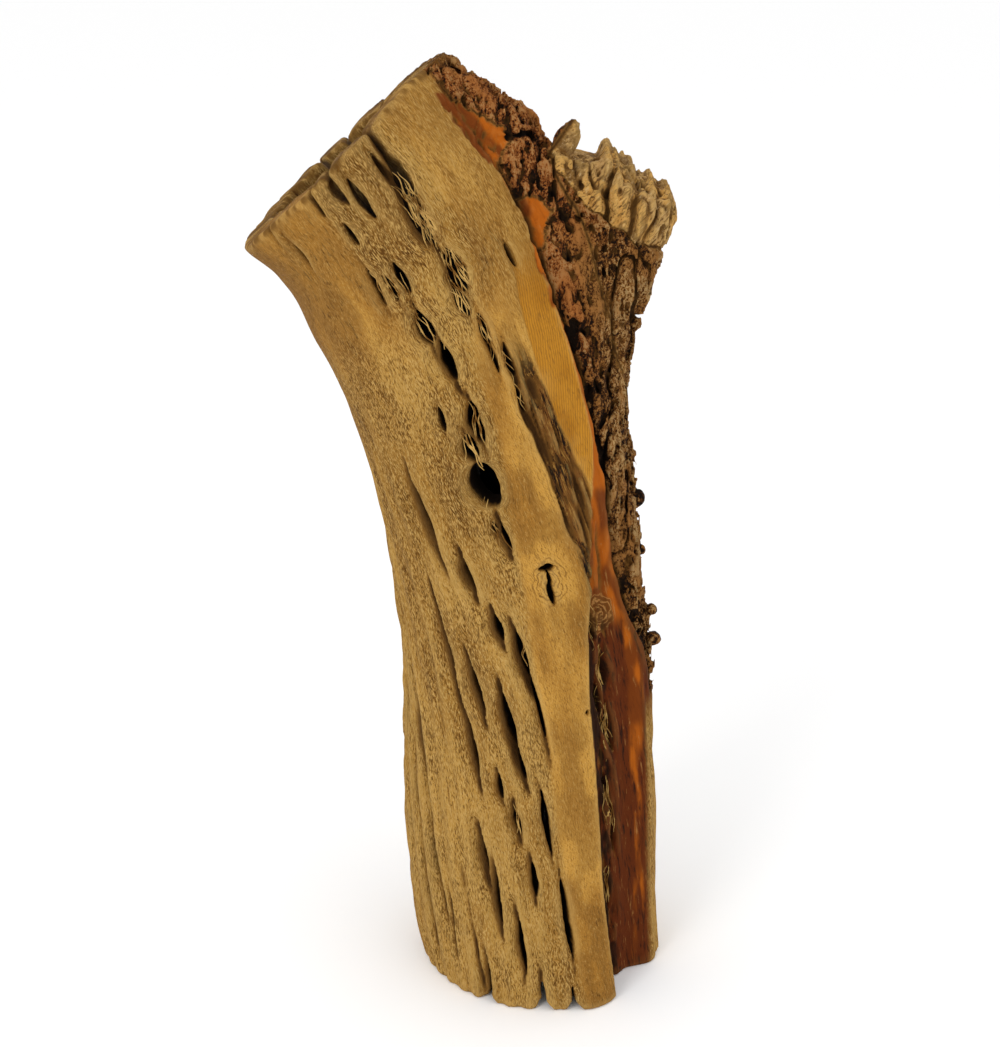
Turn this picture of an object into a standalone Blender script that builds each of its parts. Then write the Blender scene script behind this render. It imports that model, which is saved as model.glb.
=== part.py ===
"""Weathered cholla skeleton: a hollow, slotted trunk that bends to one side and is
sawn off, with the torn stub of a side branch and the bark still on its outer bend.

Metres, +Z up. The trunk stands on its flat sawn foot, its bend lies in the XZ plane,
and the lattice of bare wood faces -Y. A place on the trunk is given by its height
along the bent axis and by its bearing round it: 0 degrees is +X, -90 degrees is -Y.
"""

import math

import bmesh
import bpy
from mathutils import Matrix, Vector
from mathutils.geometry import interpolate_bezier

MM = 0.001

# Where the axis meets the ground, so that the whole piece is centred over the origin
FOOT = Vector((0.0291, -0.0063, 0.0))

# Trunk axis: one cubic curve in the XZ plane
AXIS_START = Vector((0.0, 0.0, 0.0))
AXIS_START_HANDLE = Vector((-9.5, 0.0, 149.0)) * MM
AXIS_END_HANDLE = Vector((10.0, 0.0, 233.0)) * MM
AXIS_END = Vector((-82.0, 0.0, 329.0)) * MM
AXIS_POINTS = 200

WOOD_RADIUS = 47.5 * MM
PITH_RADIUS = 33.0 * MM
PITH_SIDES = 24
PITH_RINGS = 14
PITH_OVERRUN = 10.0 * MM
PITH_TWIST = 6.3
RIB_COUNT = 12
RIB_HEIGHT = 0.8 * MM
RING_SIDES = 48
RING_SPACING = 14.0 * MM

# Degrees of bearing that the grain turns in a millimetre of height: it leans one way in
# the straight foot and comes back where the trunk bends
GRAIN_LEAN_FOOT = -0.08
GRAIN_LEAN_MIDDLE = -0.25
GRAIN_LEAN_TOP = 0.08
GRAIN_FULL_LEAN = 150.0 * MM
GRAIN_BEND_FIRST = 185.0 * MM
GRAIN_BEND_LAST = 260.0 * MM
GRAIN_STEP = 5.0 * MM

# Bark left on the outside of the bend, from the crevice round to the back
BARK_THICKNESS = 13.0 * MM
BARK_FIRST_BEARING = -28.0
BARK_LAST_BEARING = 118.0
BARK_FADE_DEGREES = 22.0
BARK_FOOT = 200.0 * MM
BARK_FULL = 290.0 * MM
BARK_WORN = 305.0 * MM
BARK_END = 345.0 * MM
BARK_WEAR = 0.8

# The sawn top end of the trunk leans away from the branch
TOP_CUT_POINT = Vector((-71.5, 0.0, 316.5)) * MM
TOP_CUT_TILT = math.radians(42.5)
TOP_CUT_BLOCK = 200.0 * MM

# Side branch: a short stub that leaves the outside of the bend
BRANCH_START = Vector((4.0, 3.0, 165.0)) * MM
BRANCH_START_HANDLE = Vector((13.0, 4.0, 225.0)) * MM
BRANCH_END_HANDLE = Vector((15.0, 4.0, 270.0)) * MM
BRANCH_END = Vector((30.0, 4.0, 310.0)) * MM
BRANCH_RADIUS = 20.0 * MM
BRANCH_FLARE = 5.0 * MM
BRANCH_PITH_RADIUS = 8.5 * MM
BRANCH_PITH_SIDES = 12
BRANCH_PITH_RINGS = 6
BRANCH_PITH_START = 40.0 * MM
BRANCH_PITH_OVERRUN = 15.0 * MM
BRANCH_SIDES = 24
BRANCH_RINGS = 8
TOOTH_COUNT = 5
TOOTH_HEIGHT = 3.5 * MM
TORN_SLOPE = 6.0 * MM

# Bark fills the crotch between the trunk and the branch
WEB_START = Vector((0.0, 3.0, 190.0)) * MM
WEB_START_HANDLE = Vector((2.0, 3.0, 230.0)) * MM
WEB_END_HANDLE = Vector((2.0, 3.0, 270.0)) * MM
WEB_END = Vector((11.0, 3.0, 316.0)) * MM
WEB_FOOT_RADIUS = 30.0 * MM
WEB_TOP_RADIUS = 13.0 * MM
WEB_TURN = 4.0

# A saw took a flat off the front of the bend
FLAT_HEIGHT = 238.0 * MM
FLAT_BEARING = -45.0
FLAT_DEPTH = 2.0 * MM
FLAT_LENGTH = 84.0 * MM
FLAT_BLOCK_WIDTH = 60.0 * MM
FLAT_BLOCK_DEPTH = 40.0 * MM

# Long crevice between the last bare rib and the bark
CREVICE_HEIGHT = 62.0 * MM
CREVICE_BEARING = -33.0
CREVICE_LENGTH = 200.0 * MM
CREVICE_WIDTH = 22.0 * MM
CREVICE_FLOOR_RADIUS = 38.0 * MM

SLOT_OUTLINE_POINTS = 8
SLOT_TAPER = 1.4
SLOT_INNER_RADIUS = 22.0 * MM
SLOT_OUTER_RADIUS = 60.0 * MM

# Slots seen on the front: height, bearing, length and width, in mm and degrees
FRONT_SLOTS = (
    (317, -124, 16, 2.4),
    (327, -94, 12, 2.2),
    (320, -84, 20, 3.0),
    (325, -70, 13, 2.4),
    (312, -66, 22, 3.2),
    (293, -103, 17, 2.4),
    (291, -91, 14, 3.2),
    (283, -71, 13, 5.4),
    (271, -76, 9, 4.0),
    (278, -47, 10, 2.4),
    (271, -95, 15, 5.6),
    (256, -91, 13, 3.6),
    (259, -72, 20, 2.8),
    (246, -68, 24, 3.2),
    (240, -106, 13, 2.8),
    (237, -91, 19, 5.2),
    (212, -94, 20, 10.0),
    (192, -92, 15, 2.6),
    (202, -127, 30, 3.2),
    (177, -111, 17, 3.6),
    (148, -126, 32, 2.6),
    (157, -101, 16, 3.0),
    (174, -77, 11, 2.4),
    (145, -90, 21, 2.8),
    (133, -113, 24, 2.6),
    (118, -98, 22, 3.4),
    (109, -117, 27, 2.6),
    (124, -83, 28, 2.2),
    (97, -95, 14, 2.4),
    (78, -97, 15, 2.8),
    (79, -82, 26, 3.0),
    (85, -108, 13, 2.2),
    (63, -112, 19, 2.6),
    (55, -90, 17, 2.6),
    (44, -105, 24, 2.6),
    (39, -75, 34, 2.8),
    (27, -94, 24, 2.4),
    (10, -112, 30, 2.4),
    (0, -84, 22, 2.6),
    (-2, -70, 20, 2.4),
)

# The lattice goes on round the back in staggered rows, which wind less than the front
BACK_ROW_FIRST_BEARING = 138.0
BACK_ROW_STEP = 18.0
BACK_ROW_WIND = 0.3
BACK_ROWS = 5
BACK_SLOT_FIRST = 22.0
BACK_SLOT_PITCH = 45.0
BACK_SLOT_LENGTH = 23.0
BACK_SLOT_WIDTH = 4.2
BACK_SLOTS_PER_ROW = 7

SHARP_ANGLE = math.radians(35.0)
WOOD_COLOUR = (0.42, 0.25, 0.09, 1.0)
WOOD_ROUGHNESS = 0.75


class Axis:
    """A centre line in the XZ plane that is read by its length."""

    def __init__(self, start, handle_a, handle_b, end):
        self.points = interpolate_bezier(start, handle_a, handle_b, end, AXIS_POINTS)
        self.lengths = [0.0]
        for a, b in zip(self.points, self.points[1:]):
            self.lengths.append(self.lengths[-1] + (b - a).length)
        self.total = self.lengths[-1]

    def at(self, height):
        """Point, direction and right-hand normal; straight on past either end."""
        last = len(self.points) - 2
        index = 0
        while index < last and self.lengths[index + 1] < height:
            index += 1
        a = self.points[index]
        along = (self.points[index + 1] - a).normalized()
        point = a + along * (height - self.lengths[index])
        right = Vector((along.z, 0.0, -along.x)).normalized()
        return point, along, right

    def place(self, height, bearing, radius):
        """World point at a height, a bearing in degrees and a distance from the axis."""
        point, _, right = self.at(height)
        angle = math.radians(bearing)
        back = Vector((0.0, 1.0, 0.0))
        return FOOT + point + (right * math.cos(angle) + back * math.sin(angle)) * radius


def fade(value, low, high):
    """0 below low, 1 above high and smooth between them."""
    t = min(max((value - low) / (high - low), 0.0), 1.0)
    return t * t * (3.0 - 2.0 * t)


def grain_lean(height):
    """Degrees of bearing that the grain turns per millimetre of height."""
    lower = (GRAIN_LEAN_MIDDLE - GRAIN_LEAN_FOOT) * fade(height, 0.0, GRAIN_FULL_LEAN)
    upper = (GRAIN_LEAN_TOP - GRAIN_LEAN_MIDDLE) * fade(height, GRAIN_BEND_FIRST, GRAIN_BEND_LAST)
    return GRAIN_LEAN_FOOT + lower + upper


def grain_bearing(height):
    """Bearing that a grain line starting at 0 degrees has reached at this height."""
    steps = int(height / GRAIN_STEP)
    return sum(grain_lean((index + 0.5) * GRAIN_STEP) for index in range(steps)) * GRAIN_STEP / MM


def bark(height, bearing):
    """Thickness of the bark on the trunk."""
    on_side = fade(bearing, BARK_FIRST_BEARING, BARK_FIRST_BEARING + BARK_FADE_DEGREES)
    off_back = 1.0 - fade(bearing, BARK_LAST_BEARING - BARK_FADE_DEGREES, BARK_LAST_BEARING)
    along = fade(height, BARK_FOOT, BARK_FULL) * (1.0 - BARK_WEAR * fade(height, BARK_WORN, BARK_END))
    return BARK_THICKNESS * on_side * off_back * along


def new_object(name, bm):
    """Object from a bmesh, in flat triangles that face out."""
    bmesh.ops.triangulate(bm, faces=bm.faces[:])
    bmesh.ops.recalc_face_normals(bm, faces=bm.faces[:])
    mesh = bpy.data.meshes.new(name)
    bm.to_mesh(mesh)
    bm.free()
    thing = bpy.data.objects.new(name, mesh)
    bpy.context.scene.collection.objects.link(thing)
    return thing


def skin(bm, rings):
    """Closed skin over rings with the same number of points."""
    loops = [[bm.verts.new(point) for point in points] for points in rings]
    for lower, upper in zip(loops, loops[1:]):
        for index, vert in enumerate(lower):
            following = (index + 1) % len(lower)
            bm.faces.new((vert, lower[following], upper[following], upper[index]))
    for loop in (loops[0], loops[-1]):
        centre = bm.verts.new(sum((vert.co for vert in loop), Vector()) / len(loop))
        for vert, following in zip(loop, loop[1:] + loop[:1]):
            bm.faces.new((vert, following, centre))


def loft(name, rings):
    """Solid over one set of rings."""
    bm = bmesh.new()
    skin(bm, rings)
    return new_object(name, bm)


def round_ring(axis, height, radius, sides, turn=0.0):
    """Plain ring square to the axis."""
    return [axis.place(height, turn + 360.0 * side / sides, radius) for side in range(sides)]


def trunk_ring(axis, height):
    """Ribbed outline of the trunk with its bark."""
    points = []
    for side in range(RING_SIDES):
        bearing = 360.0 * side / RING_SIDES
        if bearing > 180.0:
            bearing -= 360.0
        rib = math.cos(math.radians(RIB_COUNT * (bearing - grain_bearing(height))))
        radius = WOOD_RADIUS + RIB_HEIGHT * rib + bark(height, bearing)
        points.append(axis.place(height, bearing, radius))
    return points


def make_trunk(axis):
    """Outer form of the trunk, standing on a level foot."""
    rings = [trunk_ring(axis, 0.0)]
    for point in rings[0]:
        point.z = 0.0
    count = int(axis.total / RING_SPACING)
    rings += [trunk_ring(axis, axis.total * index / count) for index in range(1, count + 1)]
    return loft("cholla_skeleton", rings)


def make_branch(axis):
    """Outer form of the side branch, wider at its root, its end torn into teeth."""
    rings = []
    for index in range(BRANCH_RINGS):
        share = index / BRANCH_RINGS
        radius = BRANCH_RADIUS + BRANCH_FLARE * (1.0 - share) ** 2
        rings.append(round_ring(axis, axis.total * share, radius, BRANCH_SIDES))
    torn = []
    for side in range(BRANCH_SIDES):
        turn = 2.0 * math.pi * side / BRANCH_SIDES
        tooth = TOOTH_HEIGHT * math.cos(TOOTH_COUNT * turn)
        slope = -TORN_SLOPE * math.cos(turn)
        torn.append(axis.place(axis.total + tooth + slope, math.degrees(turn), BRANCH_RADIUS))
    return loft("branch_form", rings + [torn])


def make_web():
    """Tapered form of the bark in the crotch."""
    axis = Axis(WEB_START, WEB_START_HANDLE, WEB_END_HANDLE, WEB_END)
    rings = []
    for index in range(BRANCH_RINGS):
        share = index / (BRANCH_RINGS - 1)
        radius = WEB_FOOT_RADIUS + (WEB_TOP_RADIUS - WEB_FOOT_RADIUS) * share
        rings.append(round_ring(axis, axis.total * share, radius, BRANCH_SIDES, WEB_TURN))
    return loft("crotch_web", rings)


def make_pith(name, axis, radius, sides, first, last, count):
    """Bore that the soft core of a stem leaves behind; its facets wind across the slots."""
    rings = []
    for index in range(count + 1):
        height = first + (last - first) * index / count
        rings.append(round_ring(axis, height, radius, sides, PITH_TWIST * index))
    return loft(name, rings)


def make_top_cut():
    """Block whose lower face is the plane of the saw cut."""
    bm = bmesh.new()
    bmesh.ops.create_cube(bm, size=TOP_CUT_BLOCK)
    bm.transform(Matrix.Translation((0.0, 0.0, 0.5 * TOP_CUT_BLOCK)))
    bm.transform(Matrix.Rotation(-TOP_CUT_TILT, 4, "Y"))
    bm.transform(Matrix.Translation(FOOT + TOP_CUT_POINT))
    return new_object("top_cut", bm)


def make_flat(axis):
    """Block that takes the sawn flat off the front of the bend."""
    point, along, right = axis.at(FLAT_HEIGHT)
    angle = math.radians(FLAT_BEARING)
    outward = right * math.cos(angle) + Vector((0.0, 1.0, 0.0)) * math.sin(angle)
    across = along.cross(outward)
    bm = bmesh.new()
    bmesh.ops.create_cube(bm, size=1.0)
    bm.transform(Matrix.Diagonal((FLAT_LENGTH, FLAT_BLOCK_WIDTH, FLAT_BLOCK_DEPTH, 1.0)))
    turn = Matrix((along, across, outward)).transposed().to_4x4()
    centre = FOOT + point + outward * (WOOD_RADIUS - FLAT_DEPTH + 0.5 * FLAT_BLOCK_DEPTH)
    bm.transform(Matrix.Translation(centre) @ turn)
    return new_object("flat_cut", bm)


def spindle_profile(count):
    """Outline of a slot of length 1 and width 1, pointed at both ends."""
    outline = []
    for index in range(count):
        turn = 2.0 * math.pi * index / count
        across = math.copysign(abs(math.sin(turn)) ** SLOT_TAPER, math.sin(turn))
        outline.append((0.5 * math.cos(turn), 0.5 * across))
    return outline


def add_slot(bm, axis, height, bearing, length, width, inner, outer, points):
    """Spindle-shaped hole that lies along the grain and runs towards the axis."""
    lean = grain_lean(height) / MM
    rings = []
    for radius in (inner, outer):
        ring = []
        for along, across in spindle_profile(points):
            rise = along * length
            turn = bearing + lean * rise + math.degrees(across * width / WOOD_RADIUS)
            ring.append(axis.place(height + rise, turn, radius))
        rings.append(ring)
    skin(bm, rings)


def make_slots(axis):
    """All the slots of the lattice."""
    bm = bmesh.new()
    rows = list(FRONT_SLOTS)
    for row in range(BACK_ROWS):
        stagger = 0.5 * BACK_SLOT_PITCH * (row % 2)
        for index in range(BACK_SLOTS_PER_ROW):
            height = BACK_SLOT_FIRST + stagger + BACK_SLOT_PITCH * index
            wind = BACK_ROW_WIND * grain_bearing(height * MM)
            bearing = BACK_ROW_FIRST_BEARING + BACK_ROW_STEP * row + wind
            rows.append((height, bearing, BACK_SLOT_LENGTH, BACK_SLOT_WIDTH))
    for height, bearing, length, width in rows:
        add_slot(bm, axis, height * MM, bearing, length * MM, width * MM,
                 SLOT_INNER_RADIUS, SLOT_OUTER_RADIUS, SLOT_OUTLINE_POINTS)
    return new_object("slot_cuts", bm)


def make_crevice(axis):
    """Long hollow between the last bare rib and the bark."""
    bm = bmesh.new()
    add_slot(bm, axis, CREVICE_HEIGHT, CREVICE_BEARING, CREVICE_LENGTH, CREVICE_WIDTH,
             CREVICE_FLOOR_RADIUS, SLOT_OUTER_RADIUS, 2 * SLOT_OUTLINE_POINTS)
    return new_object("crevice_cut", bm)


def combine(target, other, operation):
    """Boolean whose second form is only a guide."""
    other.hide_render = True
    other.display_type = "WIRE"
    modifier = target.modifiers.new(other.name, "BOOLEAN")
    modifier.operation = operation
    modifier.object = other


def dry_wood():
    """Weathered, tan, matt wood."""
    material = bpy.data.materials.new("dry_wood")
    material.use_nodes = True
    shader = material.node_tree.nodes["Principled BSDF"]
    shader.inputs["Base Color"].default_value = WOOD_COLOUR
    shader.inputs["Roughness"].default_value = WOOD_ROUGHNESS
    shader.inputs["Metallic"].default_value = 0.0
    return material


def main():
    for thing in list(bpy.data.objects):
        bpy.data.objects.remove(thing)

    trunk_axis = Axis(AXIS_START, AXIS_START_HANDLE, AXIS_END_HANDLE, AXIS_END)
    branch_axis = Axis(BRANCH_START, BRANCH_START_HANDLE, BRANCH_END_HANDLE, BRANCH_END)

    trunk = make_trunk(trunk_axis)
    combine(trunk, make_branch(branch_axis), "UNION")
    combine(trunk, make_web(), "UNION")
    combine(trunk, make_flat(trunk_axis), "DIFFERENCE")
    combine(trunk, make_top_cut(), "DIFFERENCE")
    combine(trunk, make_crevice(trunk_axis), "DIFFERENCE")
    combine(trunk, make_slots(trunk_axis), "DIFFERENCE")
    combine(trunk, make_pith("trunk_pith", trunk_axis, PITH_RADIUS, PITH_SIDES, -PITH_OVERRUN,
                             trunk_axis.total + PITH_OVERRUN, PITH_RINGS), "DIFFERENCE")
    combine(trunk, make_pith("branch_pith", branch_axis, BRANCH_PITH_RADIUS, BRANCH_PITH_SIDES,
                             BRANCH_PITH_START, branch_axis.total + BRANCH_PITH_OVERRUN,
                             BRANCH_PITH_RINGS), "DIFFERENCE")

    trunk.data.materials.append(dry_wood())
    trunk.data.shade_smooth()
    trunk.data.set_sharp_from_angle(angle=SHARP_ANGLE)


main()
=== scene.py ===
"""Looks of a weathered cholla skeleton: a hollow, slotted trunk with bark and a torn branch.

The stem grew as one piece, so its skin is one surface. It is the zero level of a
solidity field: the outer wall less the pith, the slots, the crevice and the saw cuts, joined
to the bark and the branch. The skin is then thinned and parted into pieces by what each
place is made of, and every place keeps the attributes that its material reads.

Lengths are millimetres from the point where the trunk's axis meets the ground, until the
last step puts the skin into the frame in metres. A place on the trunk is its height along
the bent axis and its bearing round it: 0 degrees is +X, -90 degrees is -Y.
"""

import math

import bpy
import numpy as np
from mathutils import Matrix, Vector


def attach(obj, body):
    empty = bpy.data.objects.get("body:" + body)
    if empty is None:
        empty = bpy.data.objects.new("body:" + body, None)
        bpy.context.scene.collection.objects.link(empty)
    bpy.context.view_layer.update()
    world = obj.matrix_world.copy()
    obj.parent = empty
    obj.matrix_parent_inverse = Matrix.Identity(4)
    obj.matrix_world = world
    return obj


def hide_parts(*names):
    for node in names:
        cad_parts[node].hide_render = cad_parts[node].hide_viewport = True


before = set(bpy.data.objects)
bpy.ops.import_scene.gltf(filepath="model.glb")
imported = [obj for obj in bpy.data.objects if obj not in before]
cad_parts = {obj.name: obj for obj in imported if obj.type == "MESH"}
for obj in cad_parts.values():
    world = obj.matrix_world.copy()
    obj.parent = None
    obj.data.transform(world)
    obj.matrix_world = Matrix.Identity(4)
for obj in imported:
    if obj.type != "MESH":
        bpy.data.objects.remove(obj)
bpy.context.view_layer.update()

MM = 0.001
FOOT = np.array((29.1, -6.3, 0.0), np.float32)
NODE = "cholla_skeleton"

# Centre lines in a plane of constant depth: four control points (x, z) and the depth y
TRUNK_LINE = ((0.0, 0.0), (-9.5, 149.0), (10.0, 233.0), (-82.0, 329.0))
BRANCH_LINE = ((4.0, 165.0), (13.0, 225.0), (15.0, 270.0), (30.0, 310.0))
WEB_LINE = ((0.0, 190.0), (2.0, 230.0), (2.0, 270.0), (11.0, 316.0))
BRANCH_DEPTH = 4.0
WEB_DEPTH = 3.0

WOOD_RADIUS = 47.5
PITH_RADIUS = 33.0
# Side branch: the bore starts at its foot, and the fibres turn by a radian over the twist
BRANCH_RADIUS = 18.6
BRANCH_BORE = 5.5
BRANCH_BORE_FOOT = 95.0
BRANCH_TWIST = 34.0
# Bark in the crotch: radius at its foot, and how much of it is lost up to its top
WEB_RADIUS = 30.0
WEB_TAPER = 17.0
# Fillets where the branch and the growths stand on the trunk, and wear of torn and sawn edges
BRANCH_FILLET = 5.0
NUB_FILLET = 1.2
TORN_WEAR = 1.2
SAW_WEAR = 1.6

# Space that the skin is looked for in, and how finely
SPACE_LOW = np.array((-108.0, -52.0, -2.1), np.float32)
SPACE_HIGH = np.array((52.0, 62.0, 356.0), np.float32)
CELL = 0.7
COARSE = 3
HALF_DIAGONAL = 0.87
SKIN_BAND = 2.2
FIELD_CHUNK = 1500000
# Radii of the closeness of solid that places painted shade in hollows and recesses and a painted
# highlight on crests
HOLLOW_RADIUS = 2.4
SHELTER_RADIUS = 8.0
TRIANGLE_BUDGET = 900000

# Chart of the wall: one row for each height and one column for each bearing
CHART_FIRST = -8.0
CHART_LAST = 372.0
CHART_STEP = 0.5
CHART_COLUMNS = 900
# Distance from a slot's edge that the chart holds where no slot is near
NO_SLOT_NEAR = 30.0

# Seeds: noise of the wall, the six noises of the skin, the slots at the back, the loose fibres
WALL_SEED = 11
SKIN_SEEDS = (21, 22, 23, 24, 25, 26)
BACK_SEED = 5
FIBRE_SEED = 31

# Swellings near the foot: millimetres, bearing and its spread, heights where none and all of it is
SWELLINGS = (
    (1.6, -85.0, 35.0, 22.0, 0.0), (4.6, -66.0, 15.0, 55.0, 0.0), (1.6, -8.0, 14.0, 110.0, 60.0),
)

# Degrees of bearing that the grain turns in a millimetre of height
GRAIN_LEAN_FOOT = -0.08
GRAIN_LEAN_MIDDLE = -0.25
GRAIN_LEAN_TOP = 0.08
GRAIN_FULL_LEAN = 150.0
GRAIN_BEND_FIRST = 185.0
GRAIN_BEND_LAST = 260.0

# Where the bare wood ends on the right: height and bearing
WOOD_EDGE = (
    (-8, -54), (18, -55), (62, -57), (84, -58.5), (125, -61.5), (150, -61), (163, -58), (180, -54),
    (202, -48.5), (214, -43), (231, -42), (253, -38.5), (266, -36.5), (281, -30), (294, -28),
    (303, -26.5), (314, -25), (340, -24),
)

# Crevice between the bare wood and the bark, which is painted near black as shade
CREVICE = (
    (100, -4), (112, -8), (125, -15), (146, -24), (170, -31), (190, -37), (207, -39), (226, -37),
    (242, -36), (255, -35), (274, -29.5), (288, -24), (300, -23), (340, -22),
)
CREVICE_DEPTH = 6.0
CREVICE_WIDTH = 1.5
# How far the floor of the recess beside the bare wood lies from the trunk's axis
RECESS_FLOOR = 38.0
# Left edge of the sanded band, edges of the dark strip and left edge of the saw facet
SANDED_LEFT = (
    (-8, -71), (19, -73), (57, -76.5), (75, -79), (110, -82.5), (136, -87), (160, -88), (183, -89),
    (202, -89), (225, -86), (250, -84), (262, -80), (290, -62), (320, -58), (345, -58),
)
STRIP_LEFT = (
    (150, -56), (163, -58.5), (171, -59.6), (181, -61.2), (193, -64.8), (204, -68), (215, -69.2),
    (226, -71.2), (237, -71.2), (247, -69.6), (257, -66.8), (264, -64),
)
STRIP_RIGHT = (
    (150, -54.5), (165, -54), (180, -51.5), (191, -49.5), (204, -50.8), (213, -55.6), (226, -58.4),
    (240, -59.6), (253, -60.5), (264, -62),
)
FACET_LEFT = (
    (195, -46), (204, -50.8), (213, -55.6), (226, -58.4), (240, -59.6), (253, -57.6), (260, -56),
    (267, -53.6), (280, -47),
)
# Lower edge of the crust: bearing and height
CRUST_FOOT = (
    (-42, 190), (-34, 172), (-26, 146), (-17, 122), (-5, 116), (15, 124), (40, 140), (70, 178),
    (95, 214), (125, 250),
)
# Smooth orange bark inside the crust: height, first and last bearing
LENS = (
    (300.5, -25, -24), (303, -30, -16), (307, -31, -13), (314, -32, -15), (321, -31, -20),
    (327, -31, -25), (329.5, -30, -29),
)
ORANGE = (
    (256, -38.5, -37.5), (260, -38.5, -35), (266, -38, -31.5), (272, -37, -29), (276, -33, -24),
    (280, -30, -20), (285, -27, -18), (289, -22, -20),
)

# Slots of the lattice on the front: height, bearing, length, width, left flank, depth.
# A left flank is how far the wood left of the slot slopes down into it. Depth 0 is right through.
SLOTS = (
    (178, -76.2, 3.0, 6.4, 0.4, 4), (174.3, -76.0, 6.5, 1.7, 0.3, 4),
    (168.3, -76.5, 10, 2.6, 0.3, 5), (120.4, -62.8, 3, 1.6, 0.4, 3), (317.5, -124, 14, 2.6, 1.5, 5),
    (327, -93, 9, 2.2, 1.0, 0), (321, -85, 18, 3.2, 1.5, 0), (314, -98, 11, 2.0, 1.0, 5),
    (294, -103, 17, 2.4, 1.5, 0), (291, -98, 12, 2.4, 1.0, 0), (292, -91.5, 13, 3.6, 1.5, 0),
    (325, -71.5, 13, 2.2, 1.2, 4), (317.5, -66.5, 19, 4.6, 2.5, 0), (305, -71, 22, 5.6, 3.2, 0),
    (284, -70.5, 16, 6.2, 2.0, 0), (275, -76, 12, 4.2, 2.0, 0), (278, -46.5, 9, 2.0, 1.5, 6),
    (273, -94.5, 14, 6.0, 2.0, 0), (259, -91.5, 16, 4.4, 2.5, 0), (263, -73, 12, 3.0, 1.5, 0),
    (253, -74.5, 12, 1.6, 1.5, 4), (251, -68.5, 13, 3.2, 1.5, 6), (238, -70.5, 13, 1.8, 1.5, 4),
    (240, -105, 11, 2.7, 1.5, 6), (235, -91, 17, 5.0, 2.5, 0), (226.5, -97.5, 11, 5.6, 2.0, 0),
    (211.8, -94.8, 17.5, 10.8, 1.5, 0), (195, -96.5, 5, 2.0, 1.0, 5), (192, -92, 13, 2.6, 3.0, 0),
    (202, -127, 31, 3.8, 4.0, 0), (178, -111, 15, 3.6, 3.0, 0), (148, -126, 31, 2.4, 3.0, 0),
    (157, -100.5, 13, 3.0, 3.0, 0), (146, -90.5, 20, 2.8, 3.0, 0), (133, -112.5, 23, 2.5, 3.0, 0),
    (120, -98, 23, 3.4, 3.0, 0), (109, -116, 28, 2.5, 3.0, 0), (125, -85, 32, 1.6, 2.0, 0),
    (102, -93, 15, 2.2, 2.5, 0), (93, -103.5, 12, 2.1, 2.5, 0), (79, -96, 13, 2.8, 2.5, 0),
    (78, -83, 29, 2.7, 2.0, 0), (64, -112, 18, 2.5, 3.0, 0), (55, -89, 17, 2.4, 2.5, 0),
    (46, -106, 24, 2.4, 3.0, 0), (27, -96, 24, 2.4, 2.5, 0), (38, -75, 38, 2.4, 1.5, 0),
    (10, -113, 22, 2.1, 2.5, 0), (3, -87, 20, 2.2, 2.0, 0), (-2, -74, 24, 1.8, 1.5, 0),
)
# Powers by which a slot narrows upwards and downwards. A slot wider than a window is rounder.
SLOT_TOP_TAPER = 1.05
SLOT_FOOT_TAPER = 0.85
WINDOW_TAPER = 0.5
WINDOW_WIDTH = 8.0
# Shares of a slot's width on either side of its line, and the steep flank on its right
SLOT_LEFT_SHARE = 0.62
SLOT_RIGHT_SHARE = 0.38
STEEP_FLANK = 0.5
# Splits that open at the sawn top: bearing, length, width
TOP_SPLITS = (
    (-101, 12, 2.2), (-90, 15, 2.4), (-65, 14, 1.8), (-128, 8, 1.6), (111, 30, 2.6), (92, 26, 2.4),
    (63, 34, 2.6), (140, 14, 1.8), (45, 20, 2.2), (165, 12, 1.6),
)
# Groups of loose fibres: height, bearing, spread across in millimetres and how many
STRAND_GROUPS = (
    (316, -64, 2.5, 4), (305, -70, 4.0, 20), (297, -70, 4.0, 14), (284, -71, 4.0, 15),
    (275, -76, 3.0, 8), (262, -73, 2.5, 5), (252, -72, 2.5, 5), (239, -71, 2.0, 3),
    (294, -100, 3.5, 9), (285, -96, 3.5, 7), (273, -94, 3.5, 4), (228, -98, 2.0, 5),
    (234, -92, 3.0, 4), (196, -96, 2.5, 5), (152, -90, 1.5, 2), (79, -96, 1.5, 2),
    (74, -42, 3.0, 14), (106, -41, 3.0, 8), (130, -43, 2.5, 7), (40, -42, 2.5, 5),
    (150, -50, 2.0, 6),
)
# Left of this bearing a fibre crosses the slots level with the wood, and right of it lower down
STRAND_BRIDGED = -52.0
STRAND_LENGTHS = (9.0, 24.0)
STRAND_RADII = (0.15, 0.28)
STRAND_STEPS = 22
STRAND_SIDES = 5
# Rows of slots: degrees between rows, and at the back the first bearing and how many rows
ROW_SPACING = 9.3
BACK_ROW_FIRST = -137.0
BACK_ROWS = 24
# Slots of a row at the back: how many, first height, pitch, stagger of every second row, limits
BACK_SLOTS = 8
BACK_SLOT_FIRST = 14.0
BACK_SLOT_PITCH = 45.0
BACK_STAGGER = 23.0
BACK_HEIGHTS = (24.0, 320.0)
# Holes in the floor of the recess on the right
RECESS_HOLES = (
    (130, -42, 15, 4.0), (119, -45, 13, 3.4), (106, -38.5, 24, 4.4), (79, -41, 22, 4.4),
    (61, -37, 16, 3.4), (36, -42, 22, 3.2), (16, -43, 12, 2.6), (148, -51, 9, 2.6),
)
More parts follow.
